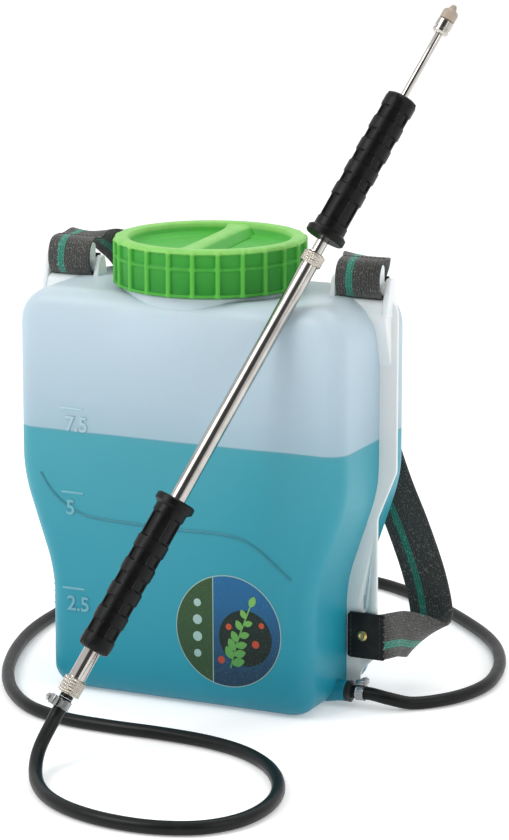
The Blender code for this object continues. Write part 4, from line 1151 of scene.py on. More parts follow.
    def lug(self, sign: float) -> None:
        """Make one strap lug: its seat, two rounded ears, and the foot and bar between them."""
        side = "right" if sign > 0.0 else "left"
        low = self.height - 15.0 * MM
        profile = [
            (self.lug_y - 13.0 * MM, low),
            (self.lug_y + 15.0 * MM, low),
            (self.lug_y + 8.0 * MM, self.bar_low),
            (self.lug_y + 5.0 * MM, self.bar_high - 10.0 * MM),
            (self.lug_y - 3.0 * MM, self.bar_high - 10.0 * MM),
            (self.lug_y - 8.0 * MM, self.bar_low - 2.0 * MM),
        ]
        shaped = rounded(profile, 5.0 * MM, 6)
        foot = low - self.seat_drop
        seat = [
            (self.web_y - 1.3 * MM, foot),
            (self.web_y + 1.3 * MM, foot),
            (self.lug_y + 12.0 * MM, low),
            (self.lug_y + 9.0 * MM, self.bar_low - 2.9 * MM),
            (self.lug_y - 8.0 * MM, self.bar_low - 2.9 * MM),
            (self.lug_y - 12.0 * MM, low),
        ]
        start = sign * self.lug_x - 25.0 * MM
        outline = [Vector((start, y, z)) for y, z in rounded(seat, 8.0 * MM, 8)]
        self.trim(Mould().slab(outline, Vector((50.0 * MM, 0.0, 0.0))), "strap_seat_" + side, 1.6 * MM)
        for label, offset in (("inner", -1.0), ("outer", 1.0)):
            centre = sign * (self.lug_x + offset * (self.ear_gap + self.ear_width) / 2.0)
            start = centre - self.ear_width / 2.0
            outline = [Vector((start, y, z)) for y, z in shaped]
            mould = Mould().slab(outline, Vector((self.ear_width, 0.0, 0.0)))
            self.trim(mould, f"strap_ear_{label}_{side}", 1.4 * MM)
        front, rear = self.lug_y - 5.0 * MM, self.lug_y + 5.0 * MM
        bars = (
            ("foot", self.ear_gap / 2.0 + self.foot_overlap, self.foot_high),
            ("bar", self.bar_reach, self.bar_high),
        )
        for label, reach, high in bars:
            bar = [(front, self.bar_low), (rear, self.bar_low), (rear, high), (front, high)]
            start = sign * self.lug_x - reach
            outline = [Vector((start, y, z)) for y, z in rounded(bar, self.bar_round, 5)]
            self.trim(Mould().slab(outline, Vector((2.0 * reach, 0.0, 0.0))), f"strap_{label}_{side}")

    def outlet_boss(self) -> None:
        """Make the moulded boss that the outlet is screwed into."""
        start = Vector((self.low_half - 10.0 * MM, self.outlet_y, self.outlet_z))
        place = Matrix.Translation(start) @ Matrix.Rotation(math.radians(90.0), 4, "Y")
        profile = [
            (5.2 * MM, 0.0),
            (11.0 * MM, 0.0),
            (8.9 * MM, 11.0 * MM),
            (8.6 * MM, 14.0 * MM),
            (8.6 * MM, 18.0 * MM),
            (5.2 * MM, 18.0 * MM),
        ]
        shaped = rounded(profile, 1.4 * MM, 4)
        boss = turned(shaped, 48, place, closed=True)
        item = boss.piece("outlet_boss", MilkyPlastic().make(), "tank")
        LOG.info("outlet_boss")

    def bead(
        self, name: str, line: Sequence[tuple[float, float]], width: float, finish: MilkyPlastic
    ) -> None:
        """Raise a rounded bead on the front face along a line of (x, z) points."""
        flat = smooth_curve([Vector((x, 0.0, z)) for x, z in line], 8)
        sunk = 0.35 * width
        path = [Vector((p.x, self.front_at(p.x, p.z) + sunk, p.z)) for p in even_path(flat, 2.5 * MM)]
        mould = tube(path, round_outline(width, 10), Vector((0.0, -1.0, 0.0)))
        item = mould.piece(name, finish.make(), "tank", crease=70.0)
        LOG.info(name)

    def shoulder_line(self) -> None:
        """Raise the long curved line across the front face."""
        line = (
            (-121.0, 181.0), (-111.0, 167.0), (-97.0, 156.0), (-77.0, 149.0), (-32.0, 147.0),
            (5.0, 146.5), (39.0, 147.0), (59.0, 144.5), (74.0, 137.0), (87.0, 127.0), (101.0, 116.0),
        )
        # The bead is tinted darker: painted shade along the line's crease.
        shaded = MilkyPlastic("shaded_plastic", tint=(0.030, 0.130, 0.170), tinted=0.45)
        self.bead("shoulder_line", [(x * MM, z * MM) for x, z in line], 1.5 * MM, shaded)

    def scale(self) -> None:
        """Raise the level marks and their numbers on the front face."""
        # The marks and numbers are tinted lighter: painted highlight on the raised plastic.
        pale = MilkyPlastic("mark_plastic", tint=(0.420, 0.640, 0.700), tinted=0.30)
        for label, z in (("7.5", 236.0 * MM), ("5", 167.0 * MM), ("2.5", 87.0 * MM)):
            name = "level_" + label.replace(".", "_")
            start = -102.0 * MM
            stroke = [(start, z), (start + 10.0 * MM, z), (start + 20.0 * MM, z)]
            self.bead(name + "_bar", stroke, 1.1 * MM, pale)
            text = bpy.data.curves.new(name + "_number", "FONT")
            text.body = label
            text.size = 17.0 * MM
            text.extrude = 0.7 * MM
            text.bevel_depth = 0.35 * MM
            text.bevel_resolution = 1
            text.resolution_u = 6
            shape = bpy.data.objects.new(text.name, text)
            bpy.context.scene.collection.objects.link(shape)
            bpy.context.view_layer.update()
            evaluated = shape.evaluated_get(bpy.context.evaluated_depsgraph_get())
            data = bpy.data.meshes.new_from_object(evaluated)
            bpy.data.objects.remove(shape)
            low_left = Matrix.Translation((start + 4.0 * MM, 0.0, z - 18.0 * MM))
            data.transform(low_left @ Matrix.Rotation(math.radians(90.0), 4, "X"))
            for vertex in data.vertices:
                vertex.co.y += self.front_at(vertex.co.x, vertex.co.z)
            data.materials.clear()
            data.materials.append(pale.make())
            number = bpy.data.objects.new(name + "_number", data)
            bpy.context.scene.collection.objects.link(number)
            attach(number, "tank")
            LOG.info(name)

    def build(self) -> None:
        """Make every tank piece."""
        self.body()
        self.collar_and_neck()
        for sign in (-1.0, 1.0):
            self.web(sign)
            self.lug(sign)
        self.outlet_boss()
        self.shoulder_line()
        self.scale()
        dress(Kind.WHITE.value.make(), "filler_strainer")


@dataclass
class Label:
    """Round printed label with a leaf sprig, stuck on the front face."""

    tank: Tank
    centre_x: float = 47.0 * MM
    centre_z: float = 68.0 * MM
    radius: float = 46.0 * MM
    film: float = 0.5 * MM
    split: float = -13.0 * MM

    def patch(
        self, name: str, outline: Sequence[tuple[float, float]], finish: Print, level: float
    ) -> bpy.types.Object:
        """Lay a thin printed shape on the face.

        Args:
            name: The piece's name.
            outline: Its (x, z) outline from the label's centre.
            finish: Its ink.
            level: How far its surface stands off the tank.
        """
        mould = Mould()
        rows = []
        for lift in (0.0, level):
            row = []
            for u, v in outline:
                x, z = self.centre_x + u, self.centre_z + v
                row.append((x, self.tank.front_at(x, z) + 0.1 * MM - lift, z))
            rows.append(mould.ring(row))
        mould.join(rows[0], rows[1])
        mould.faces.append(tuple(rows[0]))
        mould.faces.append(tuple(rows[1]))
        item = mould.piece(name, finish.make(), "tank")
        LOG.info(name)
        return item

    def arc(self, radius: float, start: float, end: float, steps: int) -> list[tuple[float, float]]:
        """Return points of an arc between two turns in radians."""
        turns = [start + (end - start) * step / steps for step in range(steps + 1)]
        return [(radius * math.cos(turn), radius * math.sin(turn)) for turn in turns]

    def leaf(self, u: float, v: float, turn: float, size: float) -> list[tuple[float, float]]:
        """Return a pointed leaf's outline from its stalk end at (u, v)."""
        points = []
        for side in (1.0, -1.0):
            for step in range(10):
                share = step / 10 if side > 0.0 else 1.0 - step / 10
                half = side * size * 0.30 * math.sin(math.pi * share) ** 0.8
                along = size * share
                points.append(
                    (
                        u + along * math.cos(turn) - half * math.sin(turn),
                        v + along * math.sin(turn) + half * math.cos(turn),
                    )
                )
        return points

    def build(self) -> None:
        """Make the label's film, fields and sprig."""
        top = self.centre_z + self.radius
        low = self.centre_z - self.radius
        pale = Print("label_edge_print", (0.24, 0.40, 0.38), (0.34, 0.50, 0.47), low, top)
        blue = Print("label_blue_print", (0.006, 0.034, 0.070), (0.010, 0.115, 0.270), low, top)
        olive = Print("label_olive_print", (0.020, 0.056, 0.022), (0.028, 0.074, 0.025), low, top)
        green = Print("label_leaf_print", (0.050, 0.230, 0.055), (0.190, 0.450, 0.100), low, top)
        coral = Print("label_berry_print", (0.320, 0.040, 0.022), (0.520, 0.090, 0.040), low, top)
        disc = self.patch("label_film", self.arc(self.radius, 0.0, math.tau * 0.99, 90), pale, self.film)
        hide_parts("front_label")
        inner = self.radius - 0.7 * MM
        cut = math.acos(self.split / inner)
        self.patch("label_blue_field", self.arc(inner, -cut, cut, 60), blue, self.film + 0.12 * MM)
        gap = 0.9 * MM
        rest = math.acos((self.split - gap) / inner)
        field = self.arc(inner, rest, math.tau - rest, 50)
        self.patch("label_olive_field", field, olive, self.film + 0.12 * MM)
        dusk = Print("label_dusk_print", (0.003, 0.010, 0.008), (0.006, 0.022, 0.014), low, top)
        ring = self.arc(23.0 * MM, 0.0, math.tau * 0.985, 60)
        round_field = [(u + 15.0 * MM, v - 4.0 * MM) for u, v in ring]
        self.patch("label_dusk_field", round_field, dusk, self.film + 0.18 * MM)
        level = self.film + 0.30 * MM
        stem = [Vector((u * MM, 0.0, v * MM)) for u, v in ((2.0, -30.0), (8.0, -8.0), (19.0, 22.0))]
        curve = smooth_curve(stem, 12)
        side = [(p.x - 0.6 * MM, p.z) for p in curve] + [(p.x + 0.6 * MM, p.z) for p in reversed(curve)]
        self.patch("sprig_stem", side, green, level)
        for index in range(5):
            for hand in (-1.0, 1.0):
                root = curve[2 + index * 4 + (2 if hand > 0.0 else 0)]
                turn = math.radians(68.0 + hand * 50.0)
                outline = self.leaf(root.x, root.z, turn, (12.0 - index * 0.9) * MM)
                self.patch(f"sprig_leaf_{index}_{'left' if hand > 0.0 else 'right'}", outline, green, level)
        berries = ((-6.0, -24.0, 3.0), (0.5, 4.0, 2.6), (24.0, -8.0, 3.2), (29.0, 8.0, 2.4))
        for index, (u, v, size) in enumerate(berries):
            disc = [(u * MM + a, v * MM + b) for a, b in self.arc(size * MM, 0.0, math.tau * 0.96, 24)]
            self.patch(f"sprig_berry_{index}", disc, coral, level)
        tip = curve[-1]
        self.patch("sprig_tip", self.leaf(tip.x, tip.z, math.radians(66.0), 10.0 * MM), green, level)
        for index in range(4):
            v = (-21.0 + index * 14.0) * MM
            size = (4.4 - abs(index - 1.5) * 0.8) * MM
            dot = [(u - 27.0 * MM, w + v) for u, w in self.arc(size, 0.0, math.tau * 0.96, 24)]
            self.patch(f"olive_dot_{index}", dot, pale, level)


# ---------------------------------------------------------------- the lid
@dataclass
class Lid:
    """Ribbed screw lid with a recessed top and a grip bar.

    Attributes:
        radius: The radius over its ribs.
        pocket: The radius of the pockets between them.
        ribs: How many ribs it has.
    """

    radius: float = 78.0 * MM
    pocket: float = 74.8 * MM
    ribs: int = 24
    bottom: float = 335.6 * MM
    top: float = 373.6 * MM
    floor: float = 364.9 * MM
    ceiling: float = 360.6 * MM
    rim_inner: float = 65.0 * MM
    rib_width: float = 2.3 * MM
    samples: int = 16
    bar_half: float = 5.5 * MM
    bar_turn: float = 6.0
    bar_top: float = 371.4 * MM

    def rib_share(self, turn: float) -> float:
        """Return 1 on a rib, 0 in a pocket, and a steep flank between."""
        pitch = math.tau / self.ribs
        away = abs((turn / pitch + 0.5) % 1.0 - 0.5) * pitch * self.radius
        flank = 1.0 * MM
        return min(1.0, max(0.0, (self.rib_width / 2.0 + flank - away) / flank))

    def shell(self) -> None:
        """Make the skirt, the rim and the recessed top as one skin."""
        steps = self.ribs * self.samples
        ledge = self.bottom + 0.60 * (self.top - self.bottom)
        face = 0.42
        wall = (
            (self.radius - 5.0 * MM, self.bottom, 0.0),
            (self.radius - 1.2 * MM, self.bottom, face),
            (self.radius - 0.3 * MM, self.bottom + 0.4 * MM, face),
            (self.radius, self.bottom + 1.2 * MM, face),
            (self.radius, self.bottom + 2.6 * MM, face),
            (self.radius, self.bottom + 3.2 * MM, 0.9),
            (self.radius, self.bottom + 4.0 * MM, 1.0),
            (self.radius, ledge - 2.6 * MM, 0.86),
            (self.radius, ledge - 1.9 * MM, 0.80),
            (self.radius, ledge - 1.3 * MM, 0.52),
            (self.radius, ledge - 0.2 * MM, 0.48),
            (self.radius, ledge + 1.0 * MM, 0.56),
            (self.radius, ledge + 1.6 * MM, 0.95),
            (self.radius, ledge + 2.4 * MM, 1.0),
            (self.radius, self.top - 4.6 * MM, 1.0),
            (self.radius, self.top - 3.8 * MM, 0.9),
            (self.radius, self.top - 3.2 * MM, face),
            (self.radius - 0.2 * MM, self.top - 2.2 * MM, face),
            (self.radius - 0.9 * MM, self.top - 1.2 * MM, face),
            (self.radius - 2.2 * MM, self.top - 0.4 * MM, face * 0.6),
            (self.radius - 4.2 * MM, self.top, 0.0),
            (self.rim_inner + 2.4 * MM, self.top - 0.1 * MM, 0.0),
            (self.rim_inner + 1.0 * MM, self.top - 0.7 * MM, 0.0),
            (self.rim_inner + 0.2 * MM, self.top - 2.0 * MM, 0.0),
            (self.rim_inner - 0.8 * MM, self.floor + 2.2 * MM, 0.0),
            (self.rim_inner - 2.0 * MM, self.floor + 0.8 * MM, 0.0),
            (self.rim_inner - 4.5 * MM, self.floor + 0.1 * MM, 0.0),
            (self.rim_inner - 9.0 * MM, self.floor, 0.0),
            (self.rim_inner - 9.8 * MM, self.floor - 0.3 * MM, 0.0),
            (self.rim_inner - 10.6 * MM, self.floor - 1.2 * MM, 0.0),
            (self.rim_inner - 12.0 * MM, self.floor - 1.5 * MM, 0.0),
            (30.0 * MM, self.floor - 1.5 * MM, 0.0),
            (2.0 * MM, self.floor - 1.5 * MM, 0.0),
        )
        depth = self.radius - self.pocket
        sections = []
        for radius, height, hollow in wall:
            section = circle(radius, height, steps)
            for step, point in enumerate(section):
                share = self.rib_share(math.tau * step / steps)
                size = radius - depth * hollow * (1.0 - share)
                point.xy = point.xy * (size / radius)
            sections.append(section)
        inside = (
            (self.radius - 8.5 * MM, self.bottom),
            (self.radius - 8.5 * MM, self.ceiling),
            (2.0 * MM, self.ceiling),
        )
        sections = [circle(radius, height, steps) for radius, height in reversed(inside)] + sections
        mould = Mould().loft(sections)
        lid = mould.piece("lid_shell", GreenPlastic().make(), "lid", crease=55.0)
        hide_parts("screw_lid")
        LOG.info("lid_shell: %d faces", len(mould.faces))

    def grip(self) -> None:
        """Make the bar across the recess, steep on one side and sloped on the other."""
        reach = self.rim_inner + 2.0 * MM
        spin = Matrix.Rotation(math.radians(self.bar_turn), 4, "Z")
        sections = []
        count = 60
        for step in range(count + 1):
            y = -reach + 2.0 * reach * step / count
            flare = abs(y / reach) ** 6
            half = self.bar_half + 4.0 * MM * flare
            top = self.bar_top + 1.4 * MM * flare
            low = self.floor - 1.0 * MM
            base = self.floor - 3.0 * MM
            corners = [
                (-half - 2.2 * MM, base),
                (-half - 2.2 * MM, low),
                (-half, top - 0.6 * MM),
                (-half + 3.0 * MM, top),
                (half - 1.0 * MM, top - 0.1 * MM),
                (half + 3.0 * MM, top - 1.6 * MM),
                (half + 10.0 * MM, low),
                (half + 10.0 * MM, base),
            ]
            sections.append([Vector((x, y, z)) for x, z in rounded(corners, 2.4 * MM, 4)])
        mould = Mould().loft(sections).move(spin)
        item = mould.piece("lid_grip_bar", GreenPlastic().make(), "lid", crease=50.0)
        LOG.info("lid_grip_bar")

    def build(self) -> None:
        """Make the lid."""
        self.shell()
        self.grip()
        dress(GreenPlastic().make(), "vent_valve")
        dress(Kind.SEAL.value.make(), "lid_gasket")


# ---------------------------------------------------------------- the straps
@dataclass
class Strap:
    """Shoulder strap, looped over its lug and riveted to the tank's web.

    Attributes:
        sign: 1 on the right side, -1 on the left.
        width: The webbing's width.
        thickness: Its thickness.
    """

    sign: float
    width: float = 38.0 * MM
    thickness: float = 1.8 * MM
    ribs: int = 17
    lug_x: float = 128.0 * MM
    web_edge: float = 142.0 * MM
    web_front: float = 10.5 * MM
    web_rear: float = 13.5 * MM
    tab_z: float = 55.0 * MM
    rivet_x: float = 131.0 * MM
    tab_end: float = 119.5 * MM
    crown_low: float = 0.35
    seam_y: float = 14.0 * MM

    @property
    def side(self) -> str:
        """Return the side's name."""
        return "right" if self.sign > 0.0 else "left"

    def stations(self) -> list[tuple[Vector, Vector]]:
        """Return the strap's route with the direction of its width at each point."""
        s = self.sign
        level = Vector((1.0, 0.0, 0.0))
        skew = Vector((1.0, -0.35 * s, 0.0))
        arch = 0.0 if s > 0.0 else 3.0
        loop = (
            (18.6, 348.0), (19.4, 342.0), (17.0, 335.0), (11.0, 332.4), (4.6, 333.4), (0.6, 338.0),
            (-0.8, 346.0), (0.8, 354.2), (5.0, 359.6), (11.4, 361.6),
        )
        made = [(Vector((s * self.lug_x, y * MM, z * MM)), level) for y, z in loop]
        tail = (
            (127.0, 19.0, 361.6, level),
            (123.0, 30.0, 360.0 + arch, skew),
            (117.0, 44.0, 355.0 + arch, skew),
            (110.0, 58.0, 347.0, skew),
            (105.0, 70.0, 335.0, skew),
            (101.0, 80.0, 320.0, level),
            (98.0, 85.0, 296.0, level),
            (98.0, 89.0, 249.0, level),
            (106.0, 93.0, 199.2, level),
            (118.0, 95.0, 162.0, (1.0, 0.0, 0.05)),
            (135.0, 96.0, 122.0, (1.0, 0.0, 0.08)),
            (149.0, 96.0, 84.0, (1.0, 0.0, 0.10 * s)),
            (157.0, 92.0, 55.0, (0.97, 0.0, 0.20 * s)),
            (161.0, 77.0, 42.0, (0.80, 0.0, 0.55 * s)),
            (159.0, 54.0, 46.0, (0.35, 0.10, 0.93 * s)),
            (154.5, 33.0, 53.0, (0.08, 0.0, s)),
            (150.5, 17.0, 55.0, (0.0, 0.0, s)),
            (145.0, 9.3, 55.0, (0.0, 0.0, s)),
            (138.0, 9.3, 55.0, (0.0, 0.0, s)),
            (self.tab_end / MM, 9.3, 55.0, (0.0, 0.0, s)),
        )
        made += [(Vector((s * x * MM, y * MM, z * MM)), Vector(side)) for x, y, z, side in tail]
        return made

    def band(
        self, name: str, route: Sequence[tuple[Vector, Vector]], material: bpy.types.Material
    ) -> bpy.types.Object:
        """Weave a ribbed band along a route.

        Args:
            name: The piece's name.
            route: (place, width direction) pairs.
            material: Its webbing.
        """
        steps = 6
        path = smooth_curve([point for point, _ in route], steps)
        sides = [side for _, side in route]
        last = len(path) - 1
        mould = Mould()
        rings = []
        along = 0.0
        cells = self.ribs * 2
        for index, point in enumerate(path):
            if index > 0:
                along += (point - path[index - 1]).length
            ahead = (path[min(index + 1, last)] - path[max(index - 1, 0)]).normalized()
            stretch = min(index // steps, len(sides) - 2)
            side = sides[stretch].lerp(sides[stretch + 1], index / steps - stretch)
            side = (side - ahead * side.dot(ahead)).normalized()
            up = side.cross(ahead)
            top, under = [], []
            for cell in range(cells + 1):
                share = cell / cells
                bulge = 0.16 * MM * abs(math.sin(math.pi * self.ribs * share))
                edge = 1.0 - 0.45 * max(0.0, abs(share - 0.5) * 2.0 - 0.94) / 0.06
                half = (self.thickness / 2.0 - 0.16 * MM) * edge + bulge
                spot = point + side * (self.width * (share - 0.5))
                top.append((spot + up * half, share))
                under.append((spot - up * half, share))
            row = top + under[::-1]
            shares = [share for _, share in row]
            rings.append(mould.ring([spot for spot, _ in row], across=shares, along=[along] * len(row)))
        for first, second in zip(rings, rings[1:]):
            mould.join(first, second)
        mould.faces.append(tuple(rings[0]))
        mould.faces.append(tuple(rings[-1]))
        item = mould.piece(name, material, "tank", crease=60.0)
        LOG.info("%s: %.3f m long", name, along)
        return item

    def stitches(self, name: str, spots: Sequence[Vector], ahead: Vector, out: Vector) -> None:
        """Sew a row of short thread stitches.

        Args:
            name: The piece's name.
            spots: Each stitch's middle.
            ahead: The direction it runs in.
            out: The direction it stands proud in.
        """
        mould = Mould()
        half = 1.3 * MM
        rise = 0.32 * MM
        shares = (-1.0, -0.5, 0.0, 0.5, 1.0)
        for spot in spots:
            path = [spot + ahead * (half * t) + out * (rise * (1.0 - t * t)) for t in shares]
            start = len(mould.points)
            thread = tube(path, round_outline(0.35 * MM, 8), out)
            mould.points.extend(thread.points)
            mould.faces.extend(tuple(number + start for number in face) for face in thread.faces)
        item = mould.piece(name, Kind.THREAD.value.make(), "tank")
        LOG.info(name)

    def tab(self) -> None:
        """Make the reinforcing tab, its seam rows and the rivet."""
        s = self.sign
        face = self.web_front - self.thickness - 1.2 * MM
        outer = self.web_edge + 7.0 * MM
        inner = self.tab_end - 1.5 * MM
        half = self.width / 2.0 - 0.2 * MM
        outline = []
        for step in range(25):
            share = step / 24
            jag = 1.1 * MM * (1.0 if step % 2 else 0.0) + 0.8 * MM * math.sin(step * 1.7)
            outline.append(Vector((s * (outer + jag), face, self.tab_z - half + 2.0 * half * share)))
        outline.append(Vector((s * (inner + 2.0 * MM), face, self.tab_z + half)))
        outline.append(Vector((s * inner, face, self.tab_z + half - 2.0 * MM)))
        outline.append(Vector((s * inner, face, self.tab_z - half + 2.0 * MM)))
        outline.append(Vector((s * (inner + 2.0 * MM), face, self.tab_z - half)))
        mould = Mould().slab(outline, Vector((0.0, 1.1 * MM, 0.0)))
        leather = Rubber("tab_vinyl", (0.005, 0.0055, 0.0055), (0.025, 0.025, 0.025), 0.55, 0.7 * MM, 0.3)
        tab = mould.piece("strap_tab_" + self.side, leather.make(), "tank", 0.3 * MM)
        LOG.info("strap_tab_%s", self.side)
        for row, x in enumerate((outer - 3.0 * MM, inner + 3.0 * MM)):
            count = 9
            spots = [
                Vector((s * x, face - 0.05 * MM, self.tab_z + (k - (count - 1) / 2.0) * 4.0 * MM))
                for k in range(count)
            ]
            self.stitches(f"tab_stitches_{row}_{self.side}", spots, Vector((0, 0, 1)), Vector((0, -1, 0)))
        head = rounded([(1.2, 0.0), (4.4, 0.0), (4.3, 0.9), (2.6, 2.0), (1.4, 1.5)], 0.7, 4)
        forward = Matrix.Rotation(math.radians(90.0), 4, "X")
        place = Matrix.Translation((s * self.rivet_x, face, self.tab_z)) @ forward
        profile = [(max(radius, 0.2) * MM, height * MM) for radius, height in head]
        rivet = turned(profile, 40, place).piece("rivet_head_" + self.side, Kind.BRASS.value.make(), "tank")

    def build(self) -> None:
        """Make the strap, its backing and its fastenings."""
        webbing = Webbing("striped_webbing", 0.22, 0.40)
        strap = self.band("shoulder_strap_" + self.side, self.stations(), webbing.make())
        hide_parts("strap_" + self.side)
        plain = Webbing("plain_webbing", 1.2, 1.4)
        rear = self.web_rear + self.thickness / 2.0 + 0.3 * MM
        up = Vector((0.0, 0.0, 1.0))
        places = [Vector((self.sign * x * MM, rear, self.tab_z)) for x in (121.0, 127.0, 134.0, 140.0)]
        backing = self.band("strap_ply_" + self.side, [(place, up) for place in places], plain.make())
        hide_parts("strap_backing_" + self.side)
        dress(Kind.BRASS.value.make(), "strap_rivet_" + self.side)
        self.tab()
        path = smooth_curve([point for point, _ in self.stations()], 6)
        crown = [point for point in path if point.z > self.crown_low and point.y > 0.0]
        seam = min(crown, key=lambda point: abs(point.y - self.seam_y))
        middle = seam + Vector((0.0, 0.0, self.thickness / 2.0 - 0.1 * MM))
        spots = [middle + Vector(((k - 4.5) * 3.6 * MM, 0.0, 0.0)) for k in range(10)]
        self.stitches("loop_stitches_" + self.side, spots, Vector((1, 0, 0)), Vector((0, 0, 1)))


# ---------------------------------------------------------------- clamps and outlet
@dataclass
class WormClamp:
    """Worm-drive hose clamp: a slotted band, its housing and its screw.

    Attributes:
        name: What it clamps.
        place: Turns the Z axis into the hose's axis, at the band's middle.
        turn: Where the housing sits, in radians about the axis.
    """

    name: str
    place: Matrix
    turn: float
    body: str
    nodes: tuple[str, str]
    inner: float = 5.6 * MM
    band: float = 0.7 * MM
    width: float = 7.0 * MM

    def build(self) -> None:
        """Make the clamp."""
        steel = Kind.STEEL.value.make()
        half = self.width / 2.0
        outer = self.inner + self.band
        lip = 0.25 * MM
        profile = [
            (self.inner, -half),
            (outer + lip, -half),
            (outer + lip, -half + 0.6 * MM),
            (outer, -half + 0.9 * MM),
            (outer, half - 0.9 * MM),
            (outer + lip, half - 0.6 * MM),
            (outer + lip, half),
            (self.inner, half),
        ]
        slots = 30

        def slotted(radius: float, turn: float, height: float) -> float:
            """Press the worm's slots into the band's outer face."""
            inside = abs(height) < half - 0.8 * MM and radius > self.inner
            sunk = 0.22 * MM * (math.sin(turn * slots) > 0.2)
            return radius - sunk if inside else radius

        ring = turned(profile, 120, self.place, closed=True, shape=slotted)
        band = ring.piece(self.name + "_band", steel, self.body)
        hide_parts(self.nodes[0])
        outward = Matrix.Translation((outer + 2.1 * MM, 0.0, 0.0))
        spin = self.place @ Matrix.Rotation(self.turn, 4, "Z") @ outward
        box = rounded([(-2.0, -4.6), (2.2, -3.4), (2.2, 3.4), (-2.0, 4.6)], 1.4, 4)
        outline = [Vector((x * MM, y * MM, -half - 0.4 * MM)) for x, y in box]
        housing = Mould().slab(outline, Vector((0.0, 0.0, self.width + 0.8 * MM))).move(spin)
        case = housing.piece(self.name + "_housing", steel, self.body, 0.3 * MM)
        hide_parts(self.nodes[1])
        along = spin @ Matrix.Rotation(math.radians(90.0), 4, "X")
        head = [(1.2, 4.0), (2.2, 4.0), (2.2, 4.4), (3.3, 4.6), (3.3, 8.2), (2.8, 8.8), (0.4, 8.8)]

        def six_sided(radius: float, turn: float, height: float) -> float:
            """Give the screw's head its hexagon."""
            third = math.pi / 3.0
            flat = math.cos((turn % third) - third / 2.0)
            return min(radius, 2.95 * MM / flat) if height > 4.5 * MM else radius

        screw = turned([(r * MM, h * MM) for r, h in head], 60, along, shape=six_sided)
        item = screw.piece(self.name + "_screw", steel, self.body)
        LOG.info(self.name)


